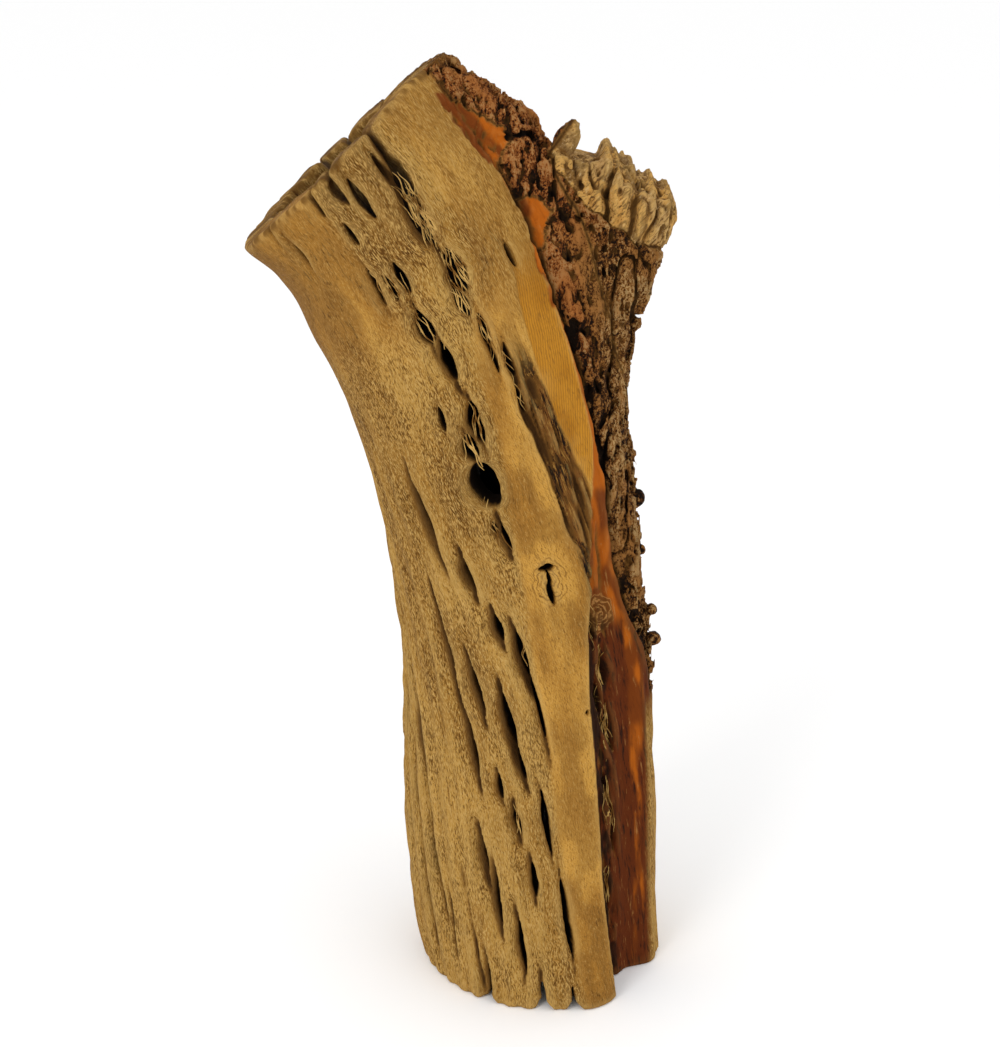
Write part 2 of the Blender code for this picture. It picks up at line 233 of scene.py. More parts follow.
# Furrows that the weather cut along the grain: height, bearing, length, width, depth
FURROWS = (
    (88, -144, 165, 2.2, 3.0), (30, -131.5, 50, 1.8, 2.6), (70, -152, 80, 2.4, 2.4),
    (112, -150, 60, 1.6, 1.6), (55, -138, 60, 1.6, 1.4), (15, -118, 40, 1.6, 1.6),
    (172, -133, 50, 1.8, 1.2), (110, -137, 60, 1.8, 0.8), (150, -138, 60, 2.0, 0.7),
    (255, -118, 60, 1.6, 0.4), (40, -122, 60, 2.2, 0.9), (25, -146, 45, 2.0, 1.2),
    (125, -160, 90, 2.6, 1.0),
)

# Bark left on the outside of the bend
BARK_THICKNESS = 11.0
BARK_FADE_DEGREES = 22.0
BARK_LAST_BEARING = 118.0
SWIRL_KNOT = (151.5, -45.0)
EYE_KNOT = (172.5, -76.3)
# Small round growths on the edge of the branch: place and radius
NUBS = (
    (43.2, -1.0, 133.0, 3.0), (35.6, -1.0, 189.5, 3.3), (42.3, -4.0, 146.0, 2.2),
    (38.0, 2.0, 168.0, 2.0),
)
# Flake of bark that stands up between the trunk and the branch: middle, lean and half sizes
FLAKE_MIDDLE = np.array((5.8, -2.0, 316.5), np.float32)
FLAKE_LEAN = 0.42
FLAKE_HALF = (4.8, 3.0, 11.5)
STUB_HOLE = ((23.0, -22.0, 309.0), (1.8, 9.0, 4.4))

# The sawn top end leans away from the branch
TOP_CUT_POINT = np.array((-71.5, 0.0, 316.5), np.float32)
TOP_CUT_TILT = math.radians(42.5)
TOP_HEIGHT = 335.0
TOP_CUT_AXIS = np.array((-math.sin(TOP_CUT_TILT), 0.0, math.cos(TOP_CUT_TILT)), np.float32)

# How far the sawn end stands above a flat cut: bearing and millimetres
RIM = (
    (-180, -0.5), (-149, -0.2), (-139, 1.2), (-109, 0.9), (-101, 0.9), (-92, 2.0), (-65, 2.0),
    (-56, 3.0), (-38, 3.8), (-28, 2.2), (0, 1.0), (30, 0.4), (150, 0.2), (180, -0.5),
)

# Outline of the torn end of the branch: x and z
STUB_TOP = (
    (0, 303), (8, 306), (14, 308.5), (19, 313), (22, 320), (25.5, 320), (27.5, 314), (33, 312),
    (36, 307), (39, 308), (41, 304.5), (45, 305), (47, 300), (49, 294),
)
# Lower edge of the torn wood: x and z
STUB_FOOT = ((0, 315), (7, 312), (12, 304), (16, 300), (26, 293), (34, 286), (50, 281))
# Grooves down the torn wood: x where they cross the groove height, width and depth
GROOVE_HEIGHT = 305.0
GROOVE_LEAN = 0.22
STUB_GROOVES = (
    (11.0, 1.6, 1.6), (17.0, 0.9, 1.2), (23.0, 1.5, 5.0), (27.5, 0.7, 1.2), (32.5, 1.7, 4.8),
    (40.5, 1.1, 2.4), (44.0, 0.8, 1.0),
)

# Borders between pieces: bearings of the front, heights on the trunk's front, back and bark, and
# the depth y that parts the front of the bark from its back
FRONT_BEARINGS = (-160.0, -15.0)
FRONT_BORDERS = (110.0, 215.0)
BACK_BORDER = 150.0
BARK_BORDER = 245.0
BARK_SEAM = 2.0
PITH_SKIN = 2.0
# Finishes that each kind of piece can show over its plain wood
FRONT_SHOWS = ("sanded", "facet", "strip", "inner")
BACK_SHOWS = ("sanded", "inner")
BARK_SHOWS = ("inner", "crust", "torn")

# Colours, as linear red, green and blue
WOOD_PALE = (0.41, 0.225, 0.050)
WOOD_DARK = (0.30, 0.148, 0.027)
WOOD_LIGHT = (0.50, 0.31, 0.095)
WOOD_BROWN = (0.17, 0.075, 0.014)
PIT_BROWN = (0.075, 0.028, 0.006)
# Also the deepest painted shade of sunk flanks and hollows
GROOVE_BROWN = (0.045, 0.019, 0.005)
# Near black for painted shade inside the stem, in its slots, deep recesses and the crevice, and for
# dark blotches on the inner bark
SHADE_AND_BLOTCH_BROWN = (0.010, 0.0055, 0.003)
BLACK_BROWN = (0.010, 0.006, 0.004)
SANDED_PALE = (0.51, 0.267, 0.050)
SANDED_DEEP = (0.33, 0.152, 0.024)
FACET_PALE = (0.45, 0.195, 0.018)
FACET_DEEP = (0.36, 0.145, 0.011)
STRIP_BROWN = (0.155, 0.052, 0.010)
STRIP_GREY = (0.19, 0.075, 0.016)
BARK_ORANGE = (0.36, 0.088, 0.006)
BARK_RED = (0.095, 0.020, 0.004)
BARK_AMBER = (0.36, 0.175, 0.050)
CRUST_BROWN = (0.13, 0.046, 0.009)
CRUST_TAN = (0.36, 0.158, 0.040)
CRUST_RED = (0.22, 0.060, 0.012)
CRUST_RUST = (0.42, 0.155, 0.038)
CRUST_GREY = (0.50, 0.32, 0.13)
CRUST_DARK = (0.014, 0.007, 0.004)
TORN_GREY = (0.48, 0.285, 0.10)
TORN_YELLOW = (0.55, 0.29, 0.072)
TORN_BROWN = (0.12, 0.058, 0.018)
TORN_PALE = (0.58, 0.42, 0.21)
ROUGHNESS = 0.85
SPECULAR = 0.06
WOOD_BUMP = 0.30
FIBRE_BUMP = 0.1

# Studio in metres. A light has a name, a place, a size and its watts.
FLOOR_HALF = 40.0
FLOOR_WHITE = 0.99
LIGHT_TARGET = (0.014, 0.0, 0.18)
LIGHTS = (
    ("key_light", (-0.7, -1.1, 1.1), 0.6, 7.0),
    ("fill_light", (0.9, -0.9, 0.7), 1.0, 1.5),
)
CAMERA_AIM = (0.0142, -0.0063, 0.179)
CAMERA_DISTANCE = 0.750
CAMERA_PITCH = math.radians(20.0)
# Focal length over the photo's height, and the sensor's size along it in millimetres
CAMERA_FOCUS = 2011.0 / 1047.0
SENSOR = 36.0


def smooth(value, low, high):
    """0 below low, 1 above high and smooth between them."""
    t = np.clip((value - low) / (high - low), 0.0, 1.0)
    return t * t * (3.0 - 2.0 * t)


def bell(value, centre, width):
    """1 at the centre, falling to nothing about twice the width away."""
    return np.exp(-((value - centre) / width) ** 2)


def along(curve, value):
    """Value of a curve of (place, value) points."""
    places, values = zip(*curve)
    return np.interp(value, places, values).astype(np.float32)


def smooth_union(a, b, softness):
    """Solidity of two solids joined with a fillet."""
    h = np.clip(0.5 + 0.5 * (a - b) / softness, 0.0, 1.0)
    return b + (a - b) * h + softness * h * (1.0 - h)


def smooth_common(a, b, softness):
    """Solidity of what two solids share, with worn edges."""
    return -smooth_union(-a, -b, softness)


class Noise:
    """Smooth random values between -1 and 1 in space."""

    SIZE = 64

    def __init__(self, seed):
        rng = np.random.default_rng(seed)
        self.table = rng.uniform(-1.0, 1.0, self.SIZE ** 3).astype(np.float32)

    def __call__(self, x, y, z):
        parts = []
        for value, stride in ((x, self.SIZE ** 2), (y, self.SIZE), (z, 1)):
            base = np.floor(value)
            t = (value - base).astype(np.float32)
            low = base.astype(np.int32) & (self.SIZE - 1)
            high = (low + 1) & (self.SIZE - 1)
            parts.append((low * stride, high * stride, t * t * (3.0 - 2.0 * t)))
        (x0, x1, tx), (y0, y1, ty), (z0, z1, tz) = parts
        pick = self.table.take
        near = pick(x0 + y0 + z0) * (1 - tz) + pick(x0 + y0 + z1) * tz
        far = pick(x0 + y1 + z0) * (1 - tz) + pick(x0 + y1 + z1) * tz
        left = near * (1 - ty) + far * ty
        near = pick(x1 + y0 + z0) * (1 - tz) + pick(x1 + y0 + z1) * tz
        far = pick(x1 + y1 + z0) * (1 - tz) + pick(x1 + y1 + z1) * tz
        right = near * (1 - ty) + far * ty
        return left * (1 - tx) + right * tx

    def layered(self, x, y, z, layers):
        """Sum of ever finer and weaker layers."""
        total = 0.0
        for layer in range(layers):
            scale = 2.0 ** layer
            total = total + self(x * scale, y * scale, z * scale + 7.3 * layer) / scale
        return total


class CentreLine:
    """Cubic curve in a plane of constant depth, with a table of places beside it."""

    SAMPLES = 400
    TABLE_STEP = 1.0

    def __init__(self, handles, depth):
        a, b, c, d = (np.array(point) for point in handles)
        t = np.linspace(0.0, 1.0, self.SAMPLES)[:, None]
        points = (1 - t) ** 3 * a + 3 * (1 - t) ** 2 * t * b + 3 * (1 - t) * t * t * c + t ** 3 * d
        steps = np.linalg.norm(np.diff(points, axis=0), axis=1)
        lengths = np.concatenate(((0.0,), np.cumsum(steps)))
        tangents = np.gradient(points, lengths, axis=0)
        tangents /= np.linalg.norm(tangents, axis=1)[:, None]
        angles = np.arctan2(tangents[:, 0], tangents[:, 1])
        bends = np.gradient(angles, lengths)
        self.depth = depth
        self.curve = (lengths, *points.T, *tangents.T)
        self.total = lengths[-1]
        self.low = SPACE_LOW[[0, 2]] - 4.0
        counts = np.ceil((SPACE_HIGH[[0, 2]] + 4.0 - self.low) / self.TABLE_STEP).astype(int) + 1
        x = self.low[0] + np.arange(counts[0]) * self.TABLE_STEP
        z = self.low[1] + np.arange(counts[1]) * self.TABLE_STEP
        table = np.zeros((counts[0], counts[1], 2), np.float32)
        for row, place in enumerate(x):
            gap_x = place - points[:, 0]
            gap_z = z[:, None] - points[:, 1]
            nearest = np.argmin(gap_x ** 2 + gap_z ** 2, axis=1)
            tx, tz = tangents[nearest, 0], tangents[nearest, 1]
            dx, dz = gap_x[nearest], z - points[nearest, 1]
            forward = dx * tx + dz * tz
            sideways = dx * tz - dz * tx
            inner = (nearest > 0) & (nearest < self.SAMPLES - 1)
            stretch = np.where(inner, 1.0 + bends[nearest] * sideways, 1.0)
            table[row, :, 0] = lengths[nearest] + forward / stretch
            table[row, :, 1] = sideways
        self.columns = counts[1]
        self.table = table.reshape(-1, 2)
        self.last = counts - 2

    def around(self, points):
        """Height along the line, bearing in degrees and distance from it."""
        fx = (points[:, 0] - self.low[0]) / self.TABLE_STEP
        fz = (points[:, 2] - self.low[1]) / self.TABLE_STEP
        ix = np.clip(fx.astype(np.int32), 0, self.last[0])
        iz = np.clip(fz.astype(np.int32), 0, self.last[1])
        tx = (fx - ix)[:, None]
        tz = (fz - iz)[:, None]
        base = ix * self.columns + iz
        low = self.table[base] * (1 - tz) + self.table[base + 1] * tz
        high = self.table[base + self.columns] * (1 - tz) + self.table[base + self.columns + 1] * tz
        place = low * (1 - tx) + high * tx
        back = points[:, 1] - self.depth
        return place[:, 0], np.degrees(np.arctan2(back, place[:, 1])), np.hypot(back, place[:, 1])


def grain_lean(height):
    """Degrees of bearing that the grain turns in a millimetre at this height."""
    lower = (GRAIN_LEAN_MIDDLE - GRAIN_LEAN_FOOT) * smooth(height, 0.0, GRAIN_FULL_LEAN)
    upper = (GRAIN_LEAN_TOP - GRAIN_LEAN_MIDDLE) * smooth(height, GRAIN_BEND_FIRST, GRAIN_BEND_LAST)
    return GRAIN_LEAN_FOOT + lower + upper


class Wall:
    """Chart of the trunk's wall over height and bearing."""

    NAMES = (
        "radius", "bore", "gap", "floor", "bark", "flow", "sanded", "strip", "facet", "inner",
        "red", "sunk", "crack",
    )
    ALL = slice(None)

    def __init__(self):
        heights = np.arange(CHART_FIRST, CHART_LAST, CHART_STEP)
        self.turn = np.concatenate(((0.0,), np.cumsum(grain_lean(heights) * CHART_STEP)[:-1]))
        self.turn -= np.interp(0.0, heights, self.turn)
        self.heights = heights
        bearings = np.arange(CHART_COLUMNS) * 360.0 / CHART_COLUMNS - 180.0
        height, bearing = np.meshgrid(heights, bearings, indexing="ij")
        self.height = height.astype(np.float32)
        self.bearing = bearing.astype(np.float32)
        self.grain = (bearing - self.turn[:, None]).astype(np.float32)
        self.round_x = WOOD_RADIUS * np.cos(np.radians(self.grain))
        self.round_y = WOOD_RADIUS * np.sin(np.radians(self.grain))
        self.past_edge = self.bearing - along(WOOD_EDGE, heights)[:, None]
        self.past_crevice = self.bearing - along(CREVICE, heights)[:, None]
        shape = self.height.shape
        self.radius = np.full(shape, WOOD_RADIUS, np.float32)
        self.gap = np.full(shape, NO_SLOT_NEAR, np.float32)
        self.floor = np.zeros(shape, np.float32)
        self.flow = np.zeros(shape, np.float32)
        self.sunk = np.zeros(shape, np.float32)
        self.noise = Noise(WALL_SEED)
        self.shape_bare_wood()
        self.shape_recess()
        self.shape_bark()
        layers = [getattr(self, name) for name in self.NAMES]
        self.table = np.stack(layers, axis=-1).astype(np.float32).reshape(-1, len(layers))

    def texture(self, across, lengthwise, layers=1, shift=0.0, rows=ALL):
        """Noise that follows the grain, with its size across and along it in millimetres."""
        x = self.round_x[rows] / across + shift
        y = self.round_y[rows] / across + shift
        return self.noise.layered(x, y, self.height[rows] / lengthwise + shift, layers)

    def rows(self, height, reach):
        """Rows of the chart within reach of a height."""
        first, last = np.searchsorted(self.heights, (height - reach, height + reach))
        return slice(int(first), max(int(last), int(first) + 1))

    def place(self, height, bearing, rows):
        """Distances along and across the grain from a place, in millimetres."""
        turned = self.turn[rows] - np.interp(height, self.heights, self.turn)
        across = (self.bearing[rows] - bearing - turned[:, None] + 180.0) % 360.0 - 180.0
        return self.height[rows] - height, (np.radians(across) * WOOD_RADIUS).astype(np.float32)

    def sink(self, rows, amount):
        """Lower the wall and keep how far it went down."""
        self.radius[rows] -= amount
        self.sunk[rows] += amount

    def cut_furrow(self, height, bearing, length, width, depth):
        """Groove that the weather wore along the grain, steep on its right side."""
        rows = self.rows(height, 0.5 * length)
        rise, across = self.place(height, bearing, rows)
        across = across + 1.4 * self.texture(60.0, 22.0, 2, height, rows)
        ends = smooth(0.5 * length - np.abs(rise), 0.0, 0.35 * length)
        self.sink(rows, depth * ends * bell(across, 0.0, np.where(across < 0.0, width, 0.35 * width)))

    def cut_slot(self, height, bearing, length, width, flank, depth):
        """Pointed slot, widest near its lower end. The wood on its left slopes down into it."""
        half = 0.5 * length
        rows = self.rows(height, 2.2 * half + 4.0)
        rise, across = self.place(height, bearing, rows)
        across = across + 0.8 * self.texture(30.0, 9.0, 1, height, rows)
        along_slot = np.clip(rise / half, -1.0, 1.0)
        top, foot = SLOT_TOP_TAPER, SLOT_FOOT_TAPER
        if width > WINDOW_WIDTH:
            top = foot = WINDOW_TAPER
        peak_place = (foot - top) / (foot + top)
        peak = (1.0 - peak_place) ** top * (1.0 + peak_place) ** foot
        open_width = width * (1.0 - along_slot) ** top * (1.0 + along_slot) ** foot / peak
        left = -SLOT_LEFT_SHARE * open_width
        right = SLOT_RIGHT_SHARE * open_width
        side = np.where(across < 0.0, np.minimum(across - left, 0.0), np.maximum(across - right, 0.0))
        beyond = np.maximum(np.abs(rise) - half, 0.0)
        inside = np.maximum(left - across, across - right)
        outside = np.hypot(np.maximum(inside, 0.0), beyond)
        gap = np.where((inside < 0.0) & (beyond == 0.0), inside, outside)
        if not depth:
            open_width = 1.22 * open_width
        ragged = min(0.45, 0.13 * width)
        gap += ragged * self.texture(7.0, 4.0, 2, height, rows) * smooth(gap, 1.5, 0.0)
        reach = np.maximum(self.radius[rows] - depth - 2.0, 0.0) if depth else 0.0
        nearer = gap < self.gap[rows]
        self.gap[rows] = np.where(nearer, gap, self.gap[rows])
        self.floor[rows] = np.where(nearer, reach, self.floor[rows])
        run = smooth(2.1 * half - np.abs(rise), 0.0, 1.1 * half)
        lip = np.where(across < 0.0, min(3.0, 1.0 * flank), 0.5)
        slope = np.where(across < 0.0, 1.1 * flank, STEEP_FLANK)
        self.sink(rows, run * lip * bell(side, 0.0, slope))
        self.flow[rows] += np.sign(across) * 0.5 * open_width * np.exp(-np.abs(side) / 4.0)

    def shape_bare_wood(self):
        """Bare wood all round: swellings, ribs, grain, furrows, slots and the flat saw facet."""
        height, bearing = self.height, self.bearing
        left = bell((bearing + 360.0) % 360.0, 185.0, 50.0)
        self.radius += 0.7 * self.texture(28.0, 70.0, 2)
        self.radius += 1.3 * left * bell(height, 65.0, 45.0)
        self.radius -= 2.6 * left * smooth(height, 22.0, -4.0)
        self.radius -= 2.6 * left * (smooth(height, 280.0, 305.0) - smooth(height, 312.0, 330.0))
        for amount, at, spread, start, full in SWELLINGS:
            self.radius += amount * bell(bearing, at, spread) * smooth(height, start, full)

        self.sanded = self.sanded_share()
        self.strip = self.strip_share()
        rough = 1.0 - self.sanded
        rows = np.cos(np.radians(360.0 * (self.grain + 2.5 * self.texture(30.0, 60.0)) / ROW_SPACING))
        self.radius += 0.45 * rows * rough * smooth(height, 285.0, 180.0)
        self.radius += 0.26 * rough * self.texture(2.2, 11.0, 2)
        self.radius += 0.10 * self.texture(9.0, 12.0, 1, 3.1)
        self.sink(self.ALL, self.strip * (1.4 + 1.9 * self.texture(1.3, 10.0, 2, 8.0)))

        for furrow in FURROWS:
            self.cut_furrow(*furrow)
        for slot in SLOTS:
            self.cut_slot(*slot)
        for at, length, width in TOP_SPLITS:
            self.cut_slot(TOP_HEIGHT, at, 2.0 * length, width, 1.2, 0.0)
        self.cut_back_lattice()
        self.bore = PITH_RADIUS + 1.0 * self.texture(9.0, 30.0, 2, 5.0)

        first, last = along(FACET_LEFT, height), along(WOOD_EDGE, height)
        self.facet = smooth(bearing, first - 0.5, first + 0.5) * smooth(bearing, last, last - 0.6)
        self.facet *= smooth(height, 198.0, 204.0) * smooth(height, 283.0, 262.0)
        half_angle = np.radians(0.5 * (last - first))
        flat = WOOD_RADIUS * np.cos(half_angle) / np.cos(np.radians(bearing - 0.5 * (first + last)))
        self.radius += self.facet * (np.minimum(flat, WOOD_RADIUS) - 0.3 - self.radius)

    def sanded_share(self):
        """Where a sander took the crests off: the right-hand band and the plain top left."""
        left = along(SANDED_LEFT, self.height)
        band = smooth(self.bearing, left - 1.0, left + 3.0) * smooth(self.past_edge, 1.0, -1.0)
        top = smooth(self.height, 255.0, 290.0) * smooth(self.bearing, -98.0, -106.0)
        worn = 1.0 - 0.6 * smooth(self.height + 14.0 * self.texture(12.0, 30.0, 2, 6.0), 255.0, 285.0)
        return np.clip(band * worn + 0.8 * top * smooth(self.bearing, -178.0, -160.0), 0.0, 1.0)

    def strip_share(self):
        """Dark weathered strip between the sanded band and the saw facet."""
        left = along(STRIP_LEFT, self.height) + 1.5 * self.texture(3.0, 9.0, 2, 4.0)
        right = along(STRIP_RIGHT, self.height) + 1.0 * self.texture(3.0, 9.0, 2, 6.0)
        inside = smooth(self.bearing, left - 0.7, left + 0.7)
        inside = inside * smooth(self.bearing, right + 0.7, right - 0.7)
        return inside * smooth(self.height, 150.0, 165.0) * smooth(self.height, 262.0, 240.0)

    def cut_back_lattice(self):
        """Staggered rows of slots that go on round the back."""
        rng = np.random.default_rng(BACK_SEED)
        lowest, highest = BACK_HEIGHTS
        for row in range(BACK_ROWS):
            start = BACK_SLOT_FIRST + BACK_STAGGER * (row % 2)
            for index in range(BACK_SLOTS):
                height = start + BACK_SLOT_PITCH * index + rng.uniform(-6.0, 6.0)
                length, width = rng.uniform(16.0, 28.0), rng.uniform(2.6, 4.8)
                flank = rng.uniform(1.2, 2.6)
                turned = np.interp(height, self.heights, self.turn)
                at = BACK_ROW_FIRST - ROW_SPACING * row + turned + rng.uniform(-1.5, 1.5)
                at = (at + 180.0) % 360.0 - 180.0
                barked = -30.0 < at < 112.0 and height > np.interp(at, *zip(*CRUST_FOOT)) - 8.0
                on_front = -140.0 < at < -8.0
                if not barked and not on_front and lowest < height < highest:
                    self.cut_slot(height, at, length, width, flank, 0.0)

    def shape_recess(self):
        """The wall steps back beside the last bare rib, up to the rib on the right."""
        height, bearing = self.height, self.bearing
        past = np.clip(self.past_edge / 8.0, 0.0, 1.0)
        fall = 1.0 - (1.0 - past) ** 2
        floor = RECESS_FLOOR + 2.5 * smooth(bearing, -45.0, -32.0)
        floor = floor + 8.0 * smooth(bearing, -33.0, -17.0)
        ragged = smooth(bearing, -32.0, -42.0)
        rags = 1.6 * self.texture(3.5, 14.0, 3, 9.0) + 1.2 * self.texture(1.6, 9.0, 2, 2.0)
        floor = floor + ragged * rags
        floor = floor + 0.5 * self.texture(6.0, 30.0, 2, 3.0)
        swirl = np.hypot(*self.place(*SWIRL_KNOT, self.ALL))
        floor = floor + 3.0 * bell(swirl, 0.0, 4.5) + 0.7 * bell(swirl, 0.0, 6.0) * np.sin(4.2 * swirl)
        here = smooth(height, 200.0, 160.0) * smooth(bearing, -5.0, -12.0)
        pale = smooth(bearing, -22.0, -18.0) * smooth(height, 116.0, 98.0)
        self.inner = smooth(self.past_edge, -0.4, 0.4) * (1.0 - pale) * smooth(bearing, 6.0, 0.0)
        depth = np.maximum(self.radius - floor, 0.0)
        self.radius -= fall * depth * here
        side = smooth(self.past_edge, 0.0, 2.0) * smooth(self.past_crevice, 2.0, 0.0)
        self.radius -= 0.9 * side * smooth(height, 160.0, 200.0)
        # Counted as sunk though the wall keeps its place, so the recess beside the last rib gets
        # painted shade
        self.sunk += 2.2 * here * bell(self.past_edge, 5.0, 5.0)
        for hole in RECESS_HOLES:
            self.cut_slot(*hole, 0.8, 0.0)
        rise, across = self.place(*SWIRL_KNOT, self.ALL)
        self.sink(self.ALL, 3.0 * bell(rise, -1.0, 5.0) * bell(across, -5.0, 1.3))

    def patch_share(self, outline):
        """1 inside an outline of height, first and last bearing."""
        heights, first, last = (np.array(column) for column in zip(*outline))
        low = np.interp(self.height, heights, first) + 2.0 * self.texture(5.0, 5.0, 2, 1.0)
        high = np.interp(self.height, heights, last) + 2.0 * self.texture(5.0, 5.0, 2, 5.0)
        share = smooth(self.height, heights[0], heights[0] + 1.5)
        share = share * smooth(self.height, heights[-1], heights[-1] - 1.5)
        share = share * smooth(self.bearing, low - 0.7, low + 0.7)
        return share * smooth(self.bearing, high + 0.7, high - 0.7)

    def shape_bark(self):
        """Crust on the outside of the bend, right of the crevice and round to the back."""
        height, bearing = self.height, self.bearing
        wander = self.past_crevice + 1.2 * self.texture(6.0, 9.0, 2, 3.0)
        crevice = smooth(height, 108.0, 135.0) * smooth(height, 305.0, 285.0)
        # Where the crevice is painted near black as shade
        self.crack = crevice * bell(wander, 0.3, 1.3)
        self.sink(self.ALL, crevice * CREVICE_DEPTH * bell(wander, 0.3, CREVICE_WIDTH))
        last = BARK_LAST_BEARING + 5.0 * self.texture(16.0, 16.0, 2, 2.0)
        off_back = smooth(bearing, last, last - 2.5)
        fade = smooth(bearing, BARK_LAST_BEARING, BARK_LAST_BEARING - BARK_FADE_DEGREES)
        on_side = smooth(self.past_crevice, 0.5, 18.0)
        worn = 1.0 - 0.9 * smooth(height, 300.0, 338.0)
        thick = BARK_THICKNESS * smooth(height, 210.0, 290.0) * worn
        foot = along(CRUST_FOOT, bearing) + 7.0 * self.texture(8.0, 8.0, 2, 7.0)
        patch = np.maximum(self.patch_share(LENS), self.patch_share(ORANGE))
        self.bark = smooth(wander, 0.3, 2.0) * off_back * smooth(height - foot, -1.0, 1.0)
        self.bark *= smooth(bearing, -60.0, -50.0) * (1.0 - patch)
        top_slab = smooth(height, 329.0, 331.0) * smooth(self.past_edge, 0.0, 1.5) * off_back
        self.bark = np.maximum(self.bark, top_slab * smooth(bearing, 60.0, 40.0))
        self.inner = np.maximum(self.inner, patch)
        beside = smooth(height, 225.0, 250.0) * smooth(self.past_crevice, 13.0, 5.0)
        reddened = smooth(height, 258.0, 285.0) * smooth(self.past_edge, 50.0, 25.0)
        reddened = reddened * smooth(height, 331.0, 326.0)
        self.red = np.maximum(reddened, beside)
        self.radius += (thick * on_side + 1.2 * self.bark) * fade
        self.radius -= 4.0 * bell(height, 168.0, 40.0) * bell(bearing, 0.0, 45.0) * self.bark

    def read(self, height, bearing):
        """Every layer of the chart at these places."""
        fi = np.clip((height - CHART_FIRST) / CHART_STEP, 0.0, len(self.heights) - 1.01)
        fj = (bearing + 180.0) * (CHART_COLUMNS / 360.0)
        i = fi.astype(np.int32)
        j = np.floor(fj).astype(np.int32)
        ti = (fi - i)[:, None].astype(np.float32)
        tj = (fj - j)[:, None].astype(np.float32)
        j0 = j % CHART_COLUMNS
        j1 = (j + 1) % CHART_COLUMNS
        base = i * CHART_COLUMNS
        low = self.table[base + j0] * (1 - tj) + self.table[base + j1] * tj
        base = base + CHART_COLUMNS
        high = self.table[base + j0] * (1 - tj) + self.table[base + j1] * tj
        mixed = low * (1 - ti) + high * ti
        return {name: mixed[:, index] for index, name in enumerate(self.NAMES)}


TRUNK = CentreLine(TRUNK_LINE, 0.0)
BRANCH = CentreLine(BRANCH_LINE, BRANCH_DEPTH)
WEB = CentreLine(WEB_LINE, WEB_DEPTH)
WALL = Wall()
LUMPS, CRACKS, PITS, TEETH, STEPS, TONES = (Noise(seed) for seed in SKIN_SEEDS)


def crust_relief(points):
    """How far the crust of the bark stands out or falls in: plates, ridges and pits."""
    x, y, z = points[:, 0], points[:, 1], points[:, 2]
    bend = 2.0 * LUMPS(x / 7.0, y / 7.0, z / 10.0)
    x, y, z = x + bend, y - bend, z * 0.62 + bend
    plates = LUMPS.layered(x / 6.5, y / 6.5, z / 8.5, 2)
    ridges = 1.0 - 2.6 * np.abs(CRACKS.layered(x / 3.0, y / 3.0, z / 4.2, 2))
    pits = PITS.layered(x / 2.1, y / 2.1, z / 2.6, 2)
    where = smooth(PITS(x / 9.0 + 5.0, y / 9.0, z / 12.0), -0.6, 0.1)
    deep = np.abs(CRACKS(x / 7.0 + 3.0, y / 7.0, z / 13.0) + 0.25 * plates)
    plates = plates - 2.4 * smooth(deep, 0.16, 0.02)
    return 1.5 * plates + 1.35 * ridges - 3.2 * where * smooth(pits, 0.10, 0.42) - 0.2


def stub_share(points):
    """1 on the torn wood of the branch, 0 on the bark below it."""
    x, y, z = points[:, 0], points[:, 1], points[:, 2]
    ragged = 1.6 * TEETH.layered(x / 5.0, y / 5.0, z / 5.0, 2)
    return smooth(z - along(STUB_FOOT, x) + ragged, -0.8, 0.8)


def ellipsoid(points, middle, half, power=2.0):
    """Solidity of an ellipsoid, squarer with a higher power and true near its skin."""
    scaled = np.abs(points - np.array(middle, np.float32)) / np.array(half, np.float32)
    return (1.0 - np.sum(scaled ** power, axis=1) ** (1.0 / power)) * min(half)


def branch_solid(points):
    """Solidity of the side branch and what share of each place is its torn wood."""
    height, bearing, distance = BRANCH.around(points)
    x, y, z = points[:, 0], points[:, 1], points[:, 2]
    torn = stub_share(points)
    flare = smooth(height, 88.0, 135.0) * (1.0 + 2.2 * np.cos(np.radians(bearing)))
    twist = np.radians(bearing) - height / BRANCH_TWIST
    wide = TEETH(np.cos(twist) * 2.6, np.sin(twist) * 2.6, height / 40.0)
    fine = TEETH(np.cos(twist) * 7.5, np.sin(twist) * 7.5, height / 16.0)
    ridges = 1.9 * (1.0 - 2.4 * np.abs(wide)) + 0.8 * (1.0 - 2.4 * np.abs(fine))
    calm = 1.0 - 0.65 * bell(bearing, -20.0, 28.0)
    radius = BRANCH_RADIUS + 2.5 * smooth(height, 60.0, 0.0) + flare + ridges * torn * calm
    lane = x - GROOVE_LEAN * (z - GROOVE_HEIGHT) + 2.0 * TEETH(x / 6.0, y / 6.0, z / 9.0)
    for place, width, depth in STUB_GROOVES:
        radius -= depth * torn * bell(lane, place, width)
    solid = np.minimum(radius - distance, height)
    top = along(STUB_TOP, x) - 0.22 * np.maximum(BRANCH_DEPTH - y, 0.0)
    top = top + 1.8 * TEETH.layered(x / 3.2, y / 3.2, z / 24.0, 2) - 0.6
    for place, width, depth in STUB_GROOVES:
        top = top - 0.7 * depth * bell(lane, place, 0.8 * width)
    solid = smooth_common(solid, top - z, TORN_WEAR)
    bore = BRANCH_BORE + 2.0 * TEETH(x / 6.0, y / 6.0, z / 12.0)
    solid = np.minimum(solid, np.maximum(distance - bore, BRANCH_BORE_FOOT - height))
    solid = np.minimum(solid, -ellipsoid(points, *STUB_HOLE))
    seam = smooth(height, 60.0, 90.0) * bell(torn, 0.5, 0.35)
    return solid - 1.6 * seam, torn


